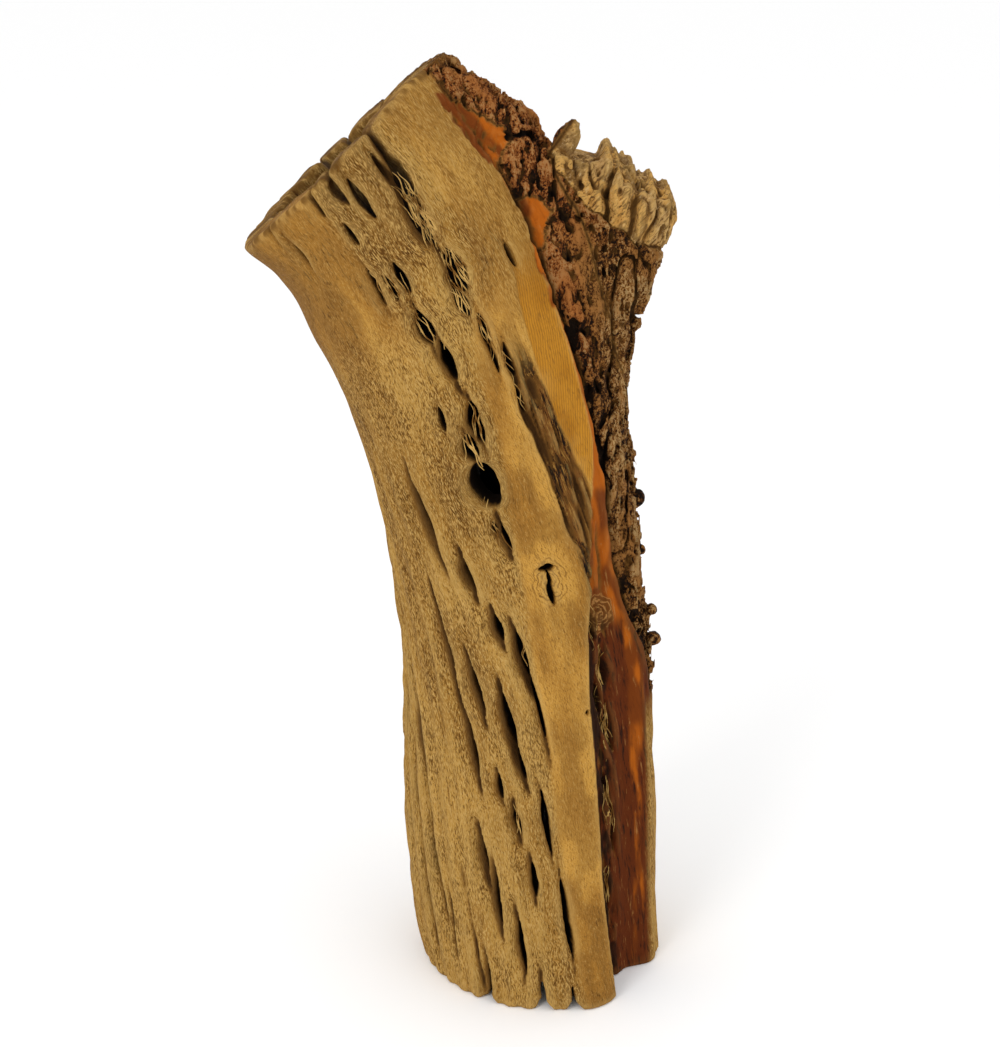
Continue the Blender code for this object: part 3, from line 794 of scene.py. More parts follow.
def growths_solid(points):
    """Solidity of the small round growths and of the flake that stands up in the crotch."""
    x, y, z = points[:, 0], points[:, 1], points[:, 2]
    offset = points - FLAKE_MIDDLE
    upright = np.stack((offset[:, 0] - FLAKE_LEAN * offset[:, 2], offset[:, 1], offset[:, 2]), axis=-1)
    solid = ellipsoid(upright, (0.0, 0.0, 0.0), FLAKE_HALF, 3.0)
    for *place, size in NUBS:
        solid = np.maximum(solid, ellipsoid(points, place, (size, size, size)))
    return solid + 0.35 * LUMPS.layered(x / 2.2, y / 2.2, z / 2.6, 2)


def web_solid(points):
    """Solidity of the bark in the crotch."""
    height, _, distance = WEB.around(points)
    radius = WEB_RADIUS - WEB_TAPER * np.clip(height / WEB.total, 0.0, 1.0)
    return np.minimum(np.minimum(radius - distance, height), WEB.total - height)


def trunk_and_branch(points, wall, distance):
    """Solidity of the trunk and of the branch, and shares: grown over, crusted and torn."""
    outer = wall["radius"] - distance
    branch, torn = branch_solid(points)
    added = smooth_union(branch, web_solid(points), BRANCH_FILLET)
    grown = smooth(added - outer, -2.0, 1.0)
    crust = np.maximum(wall["bark"] * (1.0 - grown), grown * (1.0 - torn))
    return outer, added, grown, crust, torn


def solid_field(points):
    """Solidity in millimetres: positive in the wood and the bark, negative in the air."""
    height, bearing, distance = TRUNK.around(points)
    wall = WALL.read(height, bearing)
    outer, added, _, crust, _ = trunk_and_branch(points, wall, distance)
    rough = np.maximum(crust, 0.35 * wall["inner"] * smooth(height, 245.0, 255.0))
    outer = smooth_union(outer, added, BRANCH_FILLET)
    barked = rough > 0.01
    outer[barked] += rough[barked] * crust_relief(points[barked])
    outer = smooth_union(outer, growths_solid(points), NUB_FILLET)
    solid = np.minimum(outer, distance - wall["bore"])
    solid = np.minimum(solid, np.maximum(wall["gap"], wall["floor"] - distance))
    lean = (points - TOP_CUT_POINT) @ TOP_CUT_AXIS
    limit = along(RIM, bearing) + 0.6 * STEPS(bearing / 9.0, 0.0 * bearing, 0.0 * bearing)
    solid = smooth_common(solid, limit - lean, SAW_WEAR)
    ribs = smooth(wall["gap"], 2.4, 0.4) * 2.2 + 0.5 * np.minimum(wall["sunk"], 3.0)
    return smooth_common(solid, points[:, 2] - ribs * smooth(points[:, 2], 9.0, 3.0), SAW_WEAR)


def sample_field():
    """The field on a fine grid near the skin, and roughly elsewhere."""
    coarse_step = CELL * COARSE
    counts = np.ceil((SPACE_HIGH - SPACE_LOW) / coarse_step).astype(int)
    lines = [low + (np.arange(count) + 0.5) * coarse_step for low, count in zip(SPACE_LOW, counts)]
    grid = np.stack(np.meshgrid(*lines, indexing="ij"), axis=-1).reshape(-1, 3).astype(np.float32)
    rough = solid_field(grid).reshape(counts)
    near = np.abs(rough) < HALF_DIAGONAL * coarse_step + SKIN_BAND
    inside = rough > 0
    for axis in range(3):
        change = np.diff(inside.astype(np.int8), axis=axis) != 0
        low = [slice(None)] * 3
        high = [slice(None)] * 3
        low[axis] = slice(0, -1)
        high[axis] = slice(1, None)
        near[tuple(low)] |= change
        near[tuple(high)] |= change
    fine = rough
    mask = near
    for axis in range(3):
        fine = np.repeat(fine, COARSE, axis=axis)
        mask = np.repeat(mask, COARSE, axis=axis)
    fine = fine.astype(np.float32)
    places = np.flatnonzero(mask)
    origin = SPACE_LOW + 0.5 * CELL
    flat = fine.reshape(-1)
    for start in range(0, len(places), FIELD_CHUNK):
        part = places[start:start + FIELD_CHUNK]
        index = np.stack(np.unravel_index(part, fine.shape), axis=-1).astype(np.float32)
        flat[part] = solid_field(origin + index * CELL)
    return fine, origin


def skin_mesh(field, origin):
    """Vertices and quads of the zero level, one vertex in each cell that it crosses."""
    inside = field > 0
    nx, ny, nz = field.shape
    count = np.zeros((nx - 1, ny - 1, nz - 1), np.int8)
    corners = [(i, j, k) for i in (0, 1) for j in (0, 1) for k in (0, 1)]
    for i, j, k in corners:
        count += inside[i:nx - 1 + i, j:ny - 1 + j, k:nz - 1 + k]
    cells = np.flatnonzero((count > 0) & (count < 8))
    number = np.full(count.size, -1, np.int32)
    number[cells] = np.arange(len(cells), dtype=np.int32)
    number = number.reshape(count.shape)
    ci, cj, ck = np.unravel_index(cells, count.shape)
    base = (ci * ny + cj) * nz + ck
    flat = field.reshape(-1)
    value = {c: flat[base + (c[0] * ny + c[1]) * nz + c[2]] for c in corners}
    total = np.zeros((len(cells), 3), np.float32)
    crossings = np.zeros(len(cells), np.float32)
    for corner in corners:
        for axis in range(3):
            if corner[axis]:
                continue
            other = tuple(1 if a == axis else corner[a] for a in range(3))
            low, high = value[corner], value[other]
            crossed = (low > 0) != (high > 0)
            t = np.where(crossed, low / np.where(crossed, low - high, 1.0), 0.0)
            for a in range(3):
                offset = t if a == axis else corner[a]
                total[:, a] += np.where(crossed, offset, 0.0)
            crossings += crossed
    cell_place = np.stack((ci, cj, ck), axis=-1).astype(np.float32)
    vertices = origin + (cell_place + total / crossings[:, None]) * CELL
    quads = []
    for axis in range(3):
        a, b = [other for other in range(3) if other != axis]
        low = [slice(1, n - 1) for n in field.shape]
        high = list(low)
        low[axis] = slice(0, field.shape[axis] - 1)
        high[axis] = slice(1, field.shape[axis])
        here, there = inside[tuple(low)], inside[tuple(high)]
        edges = np.stack(np.nonzero(here != there), axis=-1)
        out = here[tuple(edges.T)]
        edges[:, a] += 1
        edges[:, b] += 1
        ring = []
        for step_a, step_b in ((1, 1), (0, 1), (0, 0), (1, 0)):
            cell = edges.copy()
            cell[:, a] -= step_a
            cell[:, b] -= step_b
            ring.append(number[tuple(cell.T)])
        ring = np.stack(ring, axis=-1)
        flip = out if axis == 1 else ~out
        ring[flip] = ring[flip][:, ::-1]
        quads.append(ring)
    return vertices, np.concatenate(quads)


def largest_part(vertices, faces):
    """The biggest connected part of a mesh, without loose crumbs."""
    label = np.arange(len(vertices))
    pairs = np.concatenate([faces[:, (0, 1)], faces[:, (1, 2)], faces[:, (2, 3)]])
    while True:
        lowest = np.minimum(label[pairs[:, 0]], label[pairs[:, 1]])
        new = label.copy()
        np.minimum.at(new, pairs[:, 0], lowest)
        np.minimum.at(new, pairs[:, 1], lowest)
        new = new[new]
        new = new[new]
        if np.array_equal(new, label):
            break
        label = new
    names, sizes = np.unique(label, return_counts=True)
    keep = label == names[np.argmax(sizes)]
    index = np.cumsum(keep) - 1
    return vertices[keep], index[faces[keep[faces[:, 0]]]]


def new_mesh(name, vertices, faces):
    """Mesh from arrays of vertices and of faces with the same number of corners."""
    mesh = bpy.data.meshes.new(name)
    corners = faces.shape[1]
    mesh.vertices.add(len(vertices))
    mesh.vertices.foreach_set("co", np.ascontiguousarray(vertices, np.float32).ravel())
    mesh.loops.add(faces.size)
    mesh.loops.foreach_set("vertex_index", np.ascontiguousarray(faces, np.int32).ravel())
    mesh.polygons.add(len(faces))
    mesh.polygons.foreach_set("loop_start", np.arange(0, faces.size, corners, dtype=np.int32))
    mesh.update()
    return mesh


def thinned(vertices, faces):
    """The same skin with fewer triangles where it is plain."""
    mesh = new_mesh("skin", vertices, faces)
    thing = bpy.data.objects.new("skin", mesh)
    bpy.context.scene.collection.objects.link(thing)
    modifier = thing.modifiers.new("thin", "DECIMATE")
    modifier.ratio = min(1.0, TRIANGLE_BUDGET / (2.0 * len(faces)))
    graph = bpy.context.evaluated_depsgraph_get()
    result = bpy.data.meshes.new_from_object(thing.evaluated_get(graph))
    bpy.data.objects.remove(thing)
    count = len(result.vertices)
    places = np.zeros(count * 3, np.float32)
    result.vertices.foreach_get("co", places)
    normals = np.zeros(count * 3, np.float32)
    result.vertices.foreach_get("normal", normals)
    result.calc_loop_triangles()
    triangles = np.zeros(len(result.loop_triangles) * 3, np.int32)
    result.loop_triangles.foreach_get("vertices", triangles)
    return places.reshape(-1, 3), triangles.reshape(-1, 3), normals.reshape(-1, 3)


def closeness(field, origin, radius):
    """How much solid lies around each grid cell: a half on a flat, more in a pit, less on a crest."""
    amount = (field > 0).astype(np.float32)
    trim = [n - n % 2 for n in amount.shape]
    amount = amount[:trim[0], :trim[1], :trim[2]]
    amount = amount.reshape(trim[0] // 2, 2, trim[1] // 2, 2, trim[2] // 2, 2).mean(axis=(1, 3, 5))
    reach = max(1, int(round(radius / (2.0 * CELL) / 2.0)))
    for _ in range(2):
        for axis in range(3):
            padding = [(0, 0)] * 3
            padding[axis] = (reach + 1, reach)
            total = np.cumsum(np.pad(amount, padding, mode="edge"), axis=axis)
            count = amount.shape[axis]
            upper = np.take(total, range(2 * reach + 1, 2 * reach + 1 + count), axis=axis)
            lower = np.take(total, range(0, count), axis=axis)
            amount = (upper - lower) / (2 * reach + 1)
    return amount, origin + 0.5 * CELL


def read_grid(amount, origin, step, points):
    """Values of a grid at points between its places."""
    f = (points - origin) / step
    f = np.clip(f, 0.0, np.array(amount.shape) - 1.01)
    i = f.astype(np.int32)
    t = f - i
    result = 0.0
    for a in (0, 1):
        for b in (0, 1):
            for c in (0, 1):
                weight = (t[:, 0] if a else 1 - t[:, 0]) * (t[:, 1] if b else 1 - t[:, 1])
                weight = weight * (t[:, 2] if c else 1 - t[:, 2])
                result = result + weight * amount[i[:, 0] + a, i[:, 1] + b, i[:, 2] + c]
    return result.astype(np.float32)


def surface_layers(points, hollow, shelter):
    """Attributes that the materials read, for every vertex of the skin."""
    height, bearing, distance = TRUNK.around(points)
    wall = WALL.read(height, bearing)
    outer, added, grown, crust, torn = trunk_and_branch(points, wall, distance)
    torn = grown * torn
    inner = wall["inner"] * (1.0 - grown) * (1.0 - crust)

    turned = np.interp(height, WALL.heights, WALL.turn)
    turn = np.radians(bearing - turned) - wall["flow"] / WOOD_RADIUS
    straight = np.stack((distance * np.cos(turn), distance * np.sin(turn), height), axis=-1)
    x, y, z = straight[:, 0], straight[:, 1], straight[:, 2]
    warp = np.stack([TONES(x / 2.8 + k, y / 2.8 + k, z / 6.0) for k in (1.3, 17.7)], axis=-1)
    straight[:, :2] += 0.55 * warp
    tone = 0.5 + 0.5 * TONES.layered(x / 18.0, y / 18.0, z / 45.0, 3)
    patch = 0.5 + 0.5 * TONES.layered(x / 6.0 + 9.0, y / 6.0, z / 16.0, 2)

    veins = 0.75 + 0.45 * TONES.layered(x / 2.2, y / 2.2, z / 26.0, 2)
    ripe = np.maximum(smooth(height, 132.0, 160.0), 0.9 * bell(bearing, -25.5, 5.0) * veins)
    tone = np.where(inner > 0.02, 0.35 * tone + 0.06 + 0.42 * ripe, tone)
    tone = tone - 0.20 * smooth(height, 225.0, 285.0) * (1.0 - inner)

    lean = (points - TOP_CUT_POINT) @ TOP_CUT_AXIS - along(RIM, bearing)
    sawn = np.maximum(smooth(lean, -2.2, -1.2), smooth(points[:, 2], 1.6, 0.6))
    depth = np.maximum(outer, added)
    crust = crust * smooth(depth, 6.0, 4.0)
    # Painted shade: darker the deeper a place lies inside the wall, the slots and the pith, less so
    # towards the open top, and darker in deep recesses
    mouth = 1.0 - 0.8 * smooth(lean, -26.0, -4.0)
    dark = smooth(depth, 0.8, 4.0) * (1.0 - sawn) * mouth
    dark = np.maximum(dark, 0.55 * smooth(shelter, 0.25, 0.7))
    # Dark blotches on the inner bark, denser towards the left of the recess floor and low on the trunk
    blotch = TONES.layered(points[:, 0] / 3.0, points[:, 1] / 3.0, points[:, 2] / 10.0, 2)
    blotch = smooth(blotch + 0.5 * smooth(bearing, -36.0, -44.0), 0.05, 0.45)
    blotch = blotch * smooth(bearing, -33.0, -41.0)
    dark = np.maximum(dark, 0.85 * inner * blotch * smooth(height, 156.0, 140.0))
    # Painted shade, near black, in the crevice between the bare wood and the bark
    dark = np.maximum(dark, 0.95 * wall["crack"] * smooth(depth, -1.0, 0.6))
    plain = (1.0 - crust) * (1.0 - torn)
    # Painted shade, partly weathered darkening, down the sunk flanks of slots and furrows and in small
    # hollows; real soiling near the sawn top and dark seams are added below
    groove = 0.85 * smooth(wall["sunk"], 0.9, 3.4) * plain + 0.7 * smooth(hollow, 0.06, 0.42)
    soiled = smooth(TONES.layered(bearing / 3.0, points[:, 1] / 3.0, height / 9.0, 2), -0.3, 0.5)
    groove = groove + 0.55 * soiled * smooth(lean, -4.0, -0.8)
    seams = bell(crust, 0.5, 0.22) * smooth(added - outer, 6.0, 2.0)
    seams = np.maximum(seams, bell(torn, 0.5, 0.25) * smooth(height, 150.0, 200.0))
    up, side, far = BRANCH.around(points)
    turned = np.radians(side) - up / BRANCH_TWIST
    twist = np.stack((far * np.cos(turned), far * np.sin(turned), up), axis=-1)
    return {
        "twist": twist,
        "grain": straight,
        "flat": np.stack((np.radians(bearing) * WOOD_RADIUS, height, distance), axis=-1),
        "place": points,
        "sanded": wall["sanded"],
        "strip": wall["strip"],
        "facet": wall["facet"],
        "red": wall["red"],
        "relief": crust_relief(points),
        "crust": crust,
        "torn": torn,
        "inner": inner,
        "tone": tone,
        "patch": patch,
        "groove": np.clip(groove + seams, 0.0, 1.0),
        # Painted highlight on small crests, partly pale wear
        "crest": smooth(hollow, -0.04, -0.30) * (1.0 - crust) * (1.0 - 0.8 * inner),
        "dark": np.clip(dark, 0.0, 1.0),
    }


class Look:
    """Node graph of a material, with the sums that its textures are made of."""

    def __init__(self, name):
        self.material = bpy.data.materials.new(name)
        self.material.use_nodes = True
        self.nodes = self.material.node_tree.nodes
        self.links = self.material.node_tree.links
        self.shader = self.nodes["Principled BSDF"]

    def set(self, socket, value):
        """Link an output to a socket, or give the socket a number or a colour."""
        if isinstance(value, bpy.types.NodeSocket):
            self.links.new(value, socket)
        elif isinstance(value, tuple) and socket.type == "RGBA":
            socket.default_value = (*value, 1.0)
        else:
            socket.default_value = value

    def carried(self, name):
        """Outputs for what the skin carries at each vertex under a name."""
        node = self.nodes.new("ShaderNodeAttribute")
        node.attribute_name = name
        return node.outputs

    def number(self, name):
        """A number that the skin carries."""
        return self.carried(name)["Fac"]

    def vector(self, name):
        """A vector that the skin carries."""
        return self.carried(name)["Vector"]

    def sum(self, operation, a, b=0.0, c=0.0):
        """Result of a sum of up to three numbers."""
        node = self.nodes.new("ShaderNodeMath")
        node.operation = operation
        for socket, value in zip(node.inputs, (a, b, c)):
            self.set(socket, value)
        return node.outputs[0]

    def times(self, a, b):
        """Product of two numbers."""
        return self.sum("MULTIPLY", a, b)

    def less(self, a):
        """One less a share."""
        return self.sum("SUBTRACT", 1.0, a)

    def vector_sum(self, operation, a, b=(0.0, 0.0, 0.0)):
        """Outputs of a sum of up to two vectors."""
        node = self.nodes.new("ShaderNodeVectorMath")
        node.operation = operation
        self.set(node.inputs[0], a)
        self.set(node.inputs[1], b)
        return node.outputs

    def scaled(self, vector, factors):
        """Vector with each of its parts multiplied by a factor."""
        return self.vector_sum("MULTIPLY", vector, factors)["Vector"]

    def step(self, value, low, high, to_low=0.0, to_high=1.0):
        """Smooth step from one value to another."""
        node = self.nodes.new("ShaderNodeMapRange")
        node.interpolation_type = "SMOOTHSTEP"
        for name, setting in (("Value", value), ("From Min", low), ("From Max", high),
                              ("To Min", to_low), ("To Max", to_high)):
            self.set(node.inputs[name], setting)
        return node.outputs["Result"]

    def mix(self, share, a, b, kind="RGBA"):
        """Colour a where the share is 0 and colour b where it is 1."""
        node = self.nodes.new("ShaderNodeMix")
        node.data_type = kind
        self.set(node.inputs["Factor"], share)
        self.set(node.inputs["A"], a)
        self.set(node.inputs["B"], b)
        return node.outputs["Result"]

    def mix_number(self, share, a, b):
        """Number a where the share is 0 and number b where it is 1."""
        return self.mix(share, a, b, "FLOAT")

    def noise(self, vector, factors, detail=2.0, roughness=0.5):
        """Noise from 0 to 1, finer in the directions with larger factors."""
        place = self.scaled(vector, factors)
        node = self.nodes.new("ShaderNodeTexNoise")
        self.set(node.inputs["Vector"], place)
        node.inputs["Scale"].default_value = 1.0
        node.inputs["Detail"].default_value = detail
        node.inputs["Roughness"].default_value = roughness
        return node.outputs["Fac"]

    def lines(self, vector, spacing, direction, waver=0.35):
        """Waving parallel lines across a direction, from 0 to 1."""
        across = self.vector_sum("DOT_PRODUCT", vector, direction)["Value"]
        wander = self.noise(vector, (0.12, 0.12, 0.12), 1.0)
        phase = self.sum("MULTIPLY_ADD", wander, waver * 10.0, across)
        wave = self.sum("SINE", self.times(phase, 2.0 * math.pi / spacing))
        return self.sum("MULTIPLY_ADD", wave, 0.5, 0.5)

    def finish(self, colour, height, relief):
        """Send the colour and the height, which is a bump as deep as the relief, to the shader."""
        bump = self.nodes.new("ShaderNodeBump")
        bump.inputs["Distance"].default_value = relief
        self.set(bump.inputs["Height"], height)
        self.links.new(bump.outputs["Normal"], self.shader.inputs["Normal"])
        self.set(self.shader.inputs["Base Color"], colour)
        self.shader.inputs["Roughness"].default_value = ROUGHNESS
        self.shader.inputs["Specular IOR Level"].default_value = SPECULAR
        return self.material


def deep_streaks(look, grain):
    """Share of the dark hairline cracks, which show where the wood's tone is low."""
    crack = look.noise(grain, (1.5, 1.5, 0.16), 5.0, 0.78)
    shown = look.step(crack, 0.53, 0.62)
    return look.times(shown, look.step(look.number("tone"), 0.50, 0.20, 0.0, 0.75))


def wood_look(look, grain, rough):
    """Bare dry wood: tan, streaked along the grain and pitted by its pores."""
    tone, patch = look.number("tone"), look.number("patch")
    colour = look.mix(look.step(tone, 0.36, 0.64), WOOD_DARK, WOOD_PALE)
    colour = look.mix(look.step(tone, 0.36, 0.10, 0.0, 0.7), colour, WOOD_BROWN)
    streak = look.noise(grain, (0.9, 0.9, 0.06), 4.0, 0.7)
    colour = look.mix(look.times(look.step(streak, 0.50, 0.66), 0.75), colour, WOOD_BROWN)
    colour = look.mix(deep_streaks(look, grain), colour, GROOVE_BROWN)
    dash = look.noise(grain, (2.7, 2.7, 0.55), 2.5, 0.62)
    level = look.sum("MULTIPLY_ADD", look.step(patch, 0.25, 0.75), 0.09, 0.355)
    level = look.sum("MULTIPLY_ADD", rough, 0.02, level)
    pits = look.step(look.sum("SUBTRACT", level, dash), -0.035, 0.040)
    fibre = look.step(dash, 0.50, 0.60)
    colour = look.mix(look.times(fibre, 0.85), colour, WOOD_LIGHT)
    colour = look.mix(look.times(pits, 0.80), colour, PIT_BROWN)
    return colour, look.times(dash, 2.6)


def sanded_look(look, grain, flat):
    """Wood that a sander made flat: yellower, nearly free of pits and finely scored."""
    colour = look.mix(look.step(look.number("tone"), 0.36, 0.66), SANDED_DEEP, SANDED_PALE)
    colour = look.mix(look.step(look.number("patch"), 0.50, 0.28, 0.0, 0.42), colour, WOOD_BROWN)
    colour = look.mix(look.step(look.number("tone"), 0.36, 0.10, 0.0, 0.7), colour, WOOD_BROWN)
    pore = look.noise(grain, (2.8, 2.8, 0.5), 4.0, 0.78)
    colour = look.mix(look.step(pore, 0.48, 0.36), colour, WOOD_BROWN)
    colour = look.mix(look.times(look.step(pore, 0.54, 0.64), 0.65), colour, WOOD_LIGHT)
    score = look.lines(flat, 0.85, (0.70, 0.71, 0.0))
    colour = look.mix(look.times(score, 0.13), colour, WOOD_BROWN)
    streak = look.noise(grain, (1.1, 1.1, 0.07), 4.0, 0.7)
    colour = look.mix(look.times(look.step(streak, 0.52, 0.70), 0.6), colour, WOOD_BROWN)
    colour = look.mix(deep_streaks(look, grain), colour, GROOVE_BROWN)
    ring, radius = knot_rings(look, flat, EYE_KNOT, (1.1, 0.8, 0.0), 4.0, 9.0)
    colour = look.mix(look.times(ring, 0.9), colour, WOOD_BROWN)
    colour = look.mix(look.step(radius, 0.6, 0.0), colour, BLACK_BROWN)
    return colour, look.sum("MULTIPLY_ADD", pore, 0.9, look.times(score, -0.15))


def knot_rings(look, flat, knot, stretch, turns, reach):
    """Broken rings round a knot, and the distance from its middle."""
    across, rise = -math.radians(knot[1]) * WOOD_RADIUS, -knot[0]
    offset = look.vector_sum("ADD", flat, (across, rise, 0.0))["Vector"]
    length = look.vector_sum("LENGTH", look.scaled(offset, stretch))["Value"]
    wander = look.noise(flat, (0.30, 0.30, 0.0), 2.0)
    radius = look.sum("MULTIPLY_ADD", wander, 3.6, look.sum("SUBTRACT", length, 1.8))
    ring = look.step(look.sum("SINE", look.times(radius, turns)), 0.0, 0.9)
    broken = look.step(look.noise(flat, (0.42, 0.30, 0.0), 2.0), 0.36, 0.50)
    return look.times(look.times(ring, broken), look.step(radius, reach, 0.6 * reach)), radius


def facet_look(look, grain, flat):
    """Saw facet: the yellowest wood, with clear saw lines and brown specks."""
    colour = look.mix(look.step(look.number("patch"), 0.30, 0.70), FACET_DEEP, FACET_PALE)
    score = look.lines(flat, 1.0, (0.93, -0.36, 0.0), 0.2)
    colour = look.mix(look.step(score, 0.40, 0.95, 0.0, 0.40), colour, WOOD_BROWN)
    speck = look.noise(grain, (1.6, 1.6, 0.25), 4.0, 0.75)
    colour = look.mix(look.step(speck, 0.52, 0.66, 0.0, 0.6), colour, WOOD_BROWN)
    speck = look.noise(grain, (2.2, 2.2, 0.5), 1.0)
    colour = look.mix(look.times(look.step(speck, 0.36, 0.28), 0.6), colour, WOOD_BROWN)
    return colour, look.times(score, -0.6)


def strip_look(look, grain):
    """Dark weathered strip: grey-brown fibres with black between them."""
    fibre = look.noise(grain, (1.5, 1.5, 0.12), 5.0, 0.75)
    patch = look.number("patch")
    colour = look.mix(look.step(patch, 0.35, 0.65), STRIP_BROWN, STRIP_GREY)
    edge = look.sum("MULTIPLY_ADD", look.step(patch, 0.30, 0.70), 0.12, 0.43)
    colour = look.mix(look.step(look.sum("SUBTRACT", fibre, edge), 0.0, 0.07), colour, BLACK_BROWN)
    colour = look.mix(look.step(fibre, 0.46, 0.36), colour, WOOD_PALE)
    return colour, look.times(fibre, -4.0)


def inner_bark_look(look, grain, flat):
    """Smooth inner bark: orange to red-brown, streaked, with black flecks."""
    colour = look.mix(look.step(look.number("tone"), 0.42, 0.60), BARK_RED, BARK_ORANGE)
    streak = look.noise(grain, (0.8, 0.8, 0.09), 4.0, 0.68)
    patch = look.number("patch")
    colour = look.mix(look.step(patch, 0.58, 0.30, 0.0, 0.80), colour, BARK_RED)
    fleck = look.step(streak, 0.52, 0.66)
    fleck = look.times(fleck, look.step(look.number("tone"), 0.62, 0.36, 0.15, 0.9))
    colour = look.mix(fleck, colour, BLACK_BROWN)
    colour = look.mix(look.times(look.step(streak, 0.42, 0.28), 0.6), colour, BARK_AMBER)
    ring, radius = knot_rings(look, flat, SWIRL_KNOT, (0.70, 0.85, 0.0), 4.6, 40.0)
    swirl = look.mix(ring, CRUST_BROWN, BARK_AMBER)
    colour = look.mix(look.times(look.step(radius, 7.0, 5.0), 0.9), colour, swirl)
    return colour, look.times(streak, -1.2)


def crust_look(look, place, red):
    """Crust of the outer bark: brown lumps coloured by height with mottling, black in the low pits and
    crevices, partly painted shade, and grey-tan on the crowns, partly lichen and partly painted
    highlight.
    """
    small = look.noise(place, (1.2, 1.2, 0.8), 4.0, 0.75)
    # Height of the crust with mottling: low places are darker, partly painted shade, and high places
    # lighter, partly painted highlight
    high = look.sum("MULTIPLY_ADD", look.sum("SUBTRACT", small, 0.5), 19.0, look.number("relief"))
    ground = look.mix(red, CRUST_BROWN, CRUST_RED)
    crown = look.mix(red, CRUST_TAN, CRUST_RUST)
    colour = look.mix(look.step(high, -0.9, 0.9), ground, crown)
    lichen = look.times(look.step(look.number("patch"), 0.30, 0.55), look.step(high, 0.4, 1.9))
    colour = look.mix(look.times(lichen, look.mix_number(red, 0.9, 0.45)), colour, CRUST_GREY)
    # Painted shade, near black, in the deepest pits and crevices, broken up by mottling
    colour = look.mix(look.step(high, -0.9, -2.2), colour, CRUST_DARK)
    return colour, look.times(small, 6.0)


def torn_look(look):
    """Torn end of the branch: pale fibre in twisted ridges, brown in the grooves."""
    fibre = look.noise(look.vector("twist"), (1.0, 1.0, 0.22), 4.0, 0.68)
    colour = look.mix(look.step(look.number("patch"), 0.35, 0.65), TORN_GREY, TORN_YELLOW)
    colour = look.mix(look.step(fibre, 0.50, 0.60), colour, TORN_BROWN)
    colour = look.mix(look.step(look.number("relief"), -0.2, -2.2, 0.0, 0.7), colour, TORN_BROWN)
    colour = look.mix(look.times(look.step(fibre, 0.44, 0.34), 0.6), colour, TORN_PALE)
    return colour, look.times(fibre, -3.5)


def stem_material(name, parts):
    """One family of finishes: each part shows where the skin says so, with painted shade darkening the
    hollows, slots and inside, partly weathered dark, and a painted highlight on the crests.
    """
    look = Look(name)
    grain, flat, place = look.vector("grain"), look.vector("flat"), look.vector("place")
    makers = {
        "sanded": lambda: sanded_look(look, grain, flat),
        "facet": lambda: facet_look(look, grain, flat),
        "strip": lambda: strip_look(look, grain),
        "inner": lambda: inner_bark_look(look, grain, flat),
        "crust": lambda: crust_look(look, place, look.number("red")),
        "torn": lambda: torn_look(look),
    }
    sanded = look.number("sanded")
    colour, height = wood_look(look, grain, look.less(sanded))
    for part in parts:
        share = look.number(part)
        part_colour, part_height = makers[part]()
        colour = look.mix(share, colour, part_colour)
        height = look.mix_number(share, height, part_height)
    # Painted highlight on small crests, partly pale wear
    colour = look.mix(look.times(look.number("crest"), 0.35), colour, WOOD_LIGHT)
    # Painted shade in sunk flanks and hollows, with real soiling near the sawn top and dark seams
    groove = look.number("groove")
    colour = look.mix(look.step(groove, 0.0, 0.5, 0.0, 0.75), colour, WOOD_BROWN)
    colour = look.mix(look.step(groove, 0.25, 1.0, 0.0, 0.88), colour, GROOVE_BROWN)
    # Painted shade inside, in deep recesses and in the crevice, and dark blotches on the inner bark
    colour = look.mix(look.number("dark"), colour, SHADE_AND_BLOTCH_BROWN)
    return look.finish(colour, height, WOOD_BUMP * MM)


def place_piece(name, mesh):
    """Put a finished mesh into the scene as a piece of the stem."""
    piece = bpy.data.objects.new(name, mesh)
    bpy.context.scene.collection.objects.link(piece)
    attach(piece, "root")
    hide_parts(NODE)


def make_piece(name, vertices, triangles, normals, layers, material):
    """One piece of the skin in the frame's metres."""
    used, corner = np.unique(triangles, return_inverse=True)
    faces = corner.reshape(-1, 3)
    mesh = new_mesh(name, (vertices[used] + FOOT) * MM, faces)
    for layer, values in layers.items():
        kind = "FLOAT_VECTOR" if values.ndim == 2 else "FLOAT"
        field = "vector" if values.ndim == 2 else "value"
        attribute = mesh.attributes.new(layer, kind, "POINT")
        attribute.data.foreach_set(field, np.ascontiguousarray(values[used], np.float32).ravel())
    mesh.materials.append(material)
    mesh.shade_smooth()
    mesh.normals_split_custom_set_from_vertices(normals[used])
    place_piece(name, mesh)


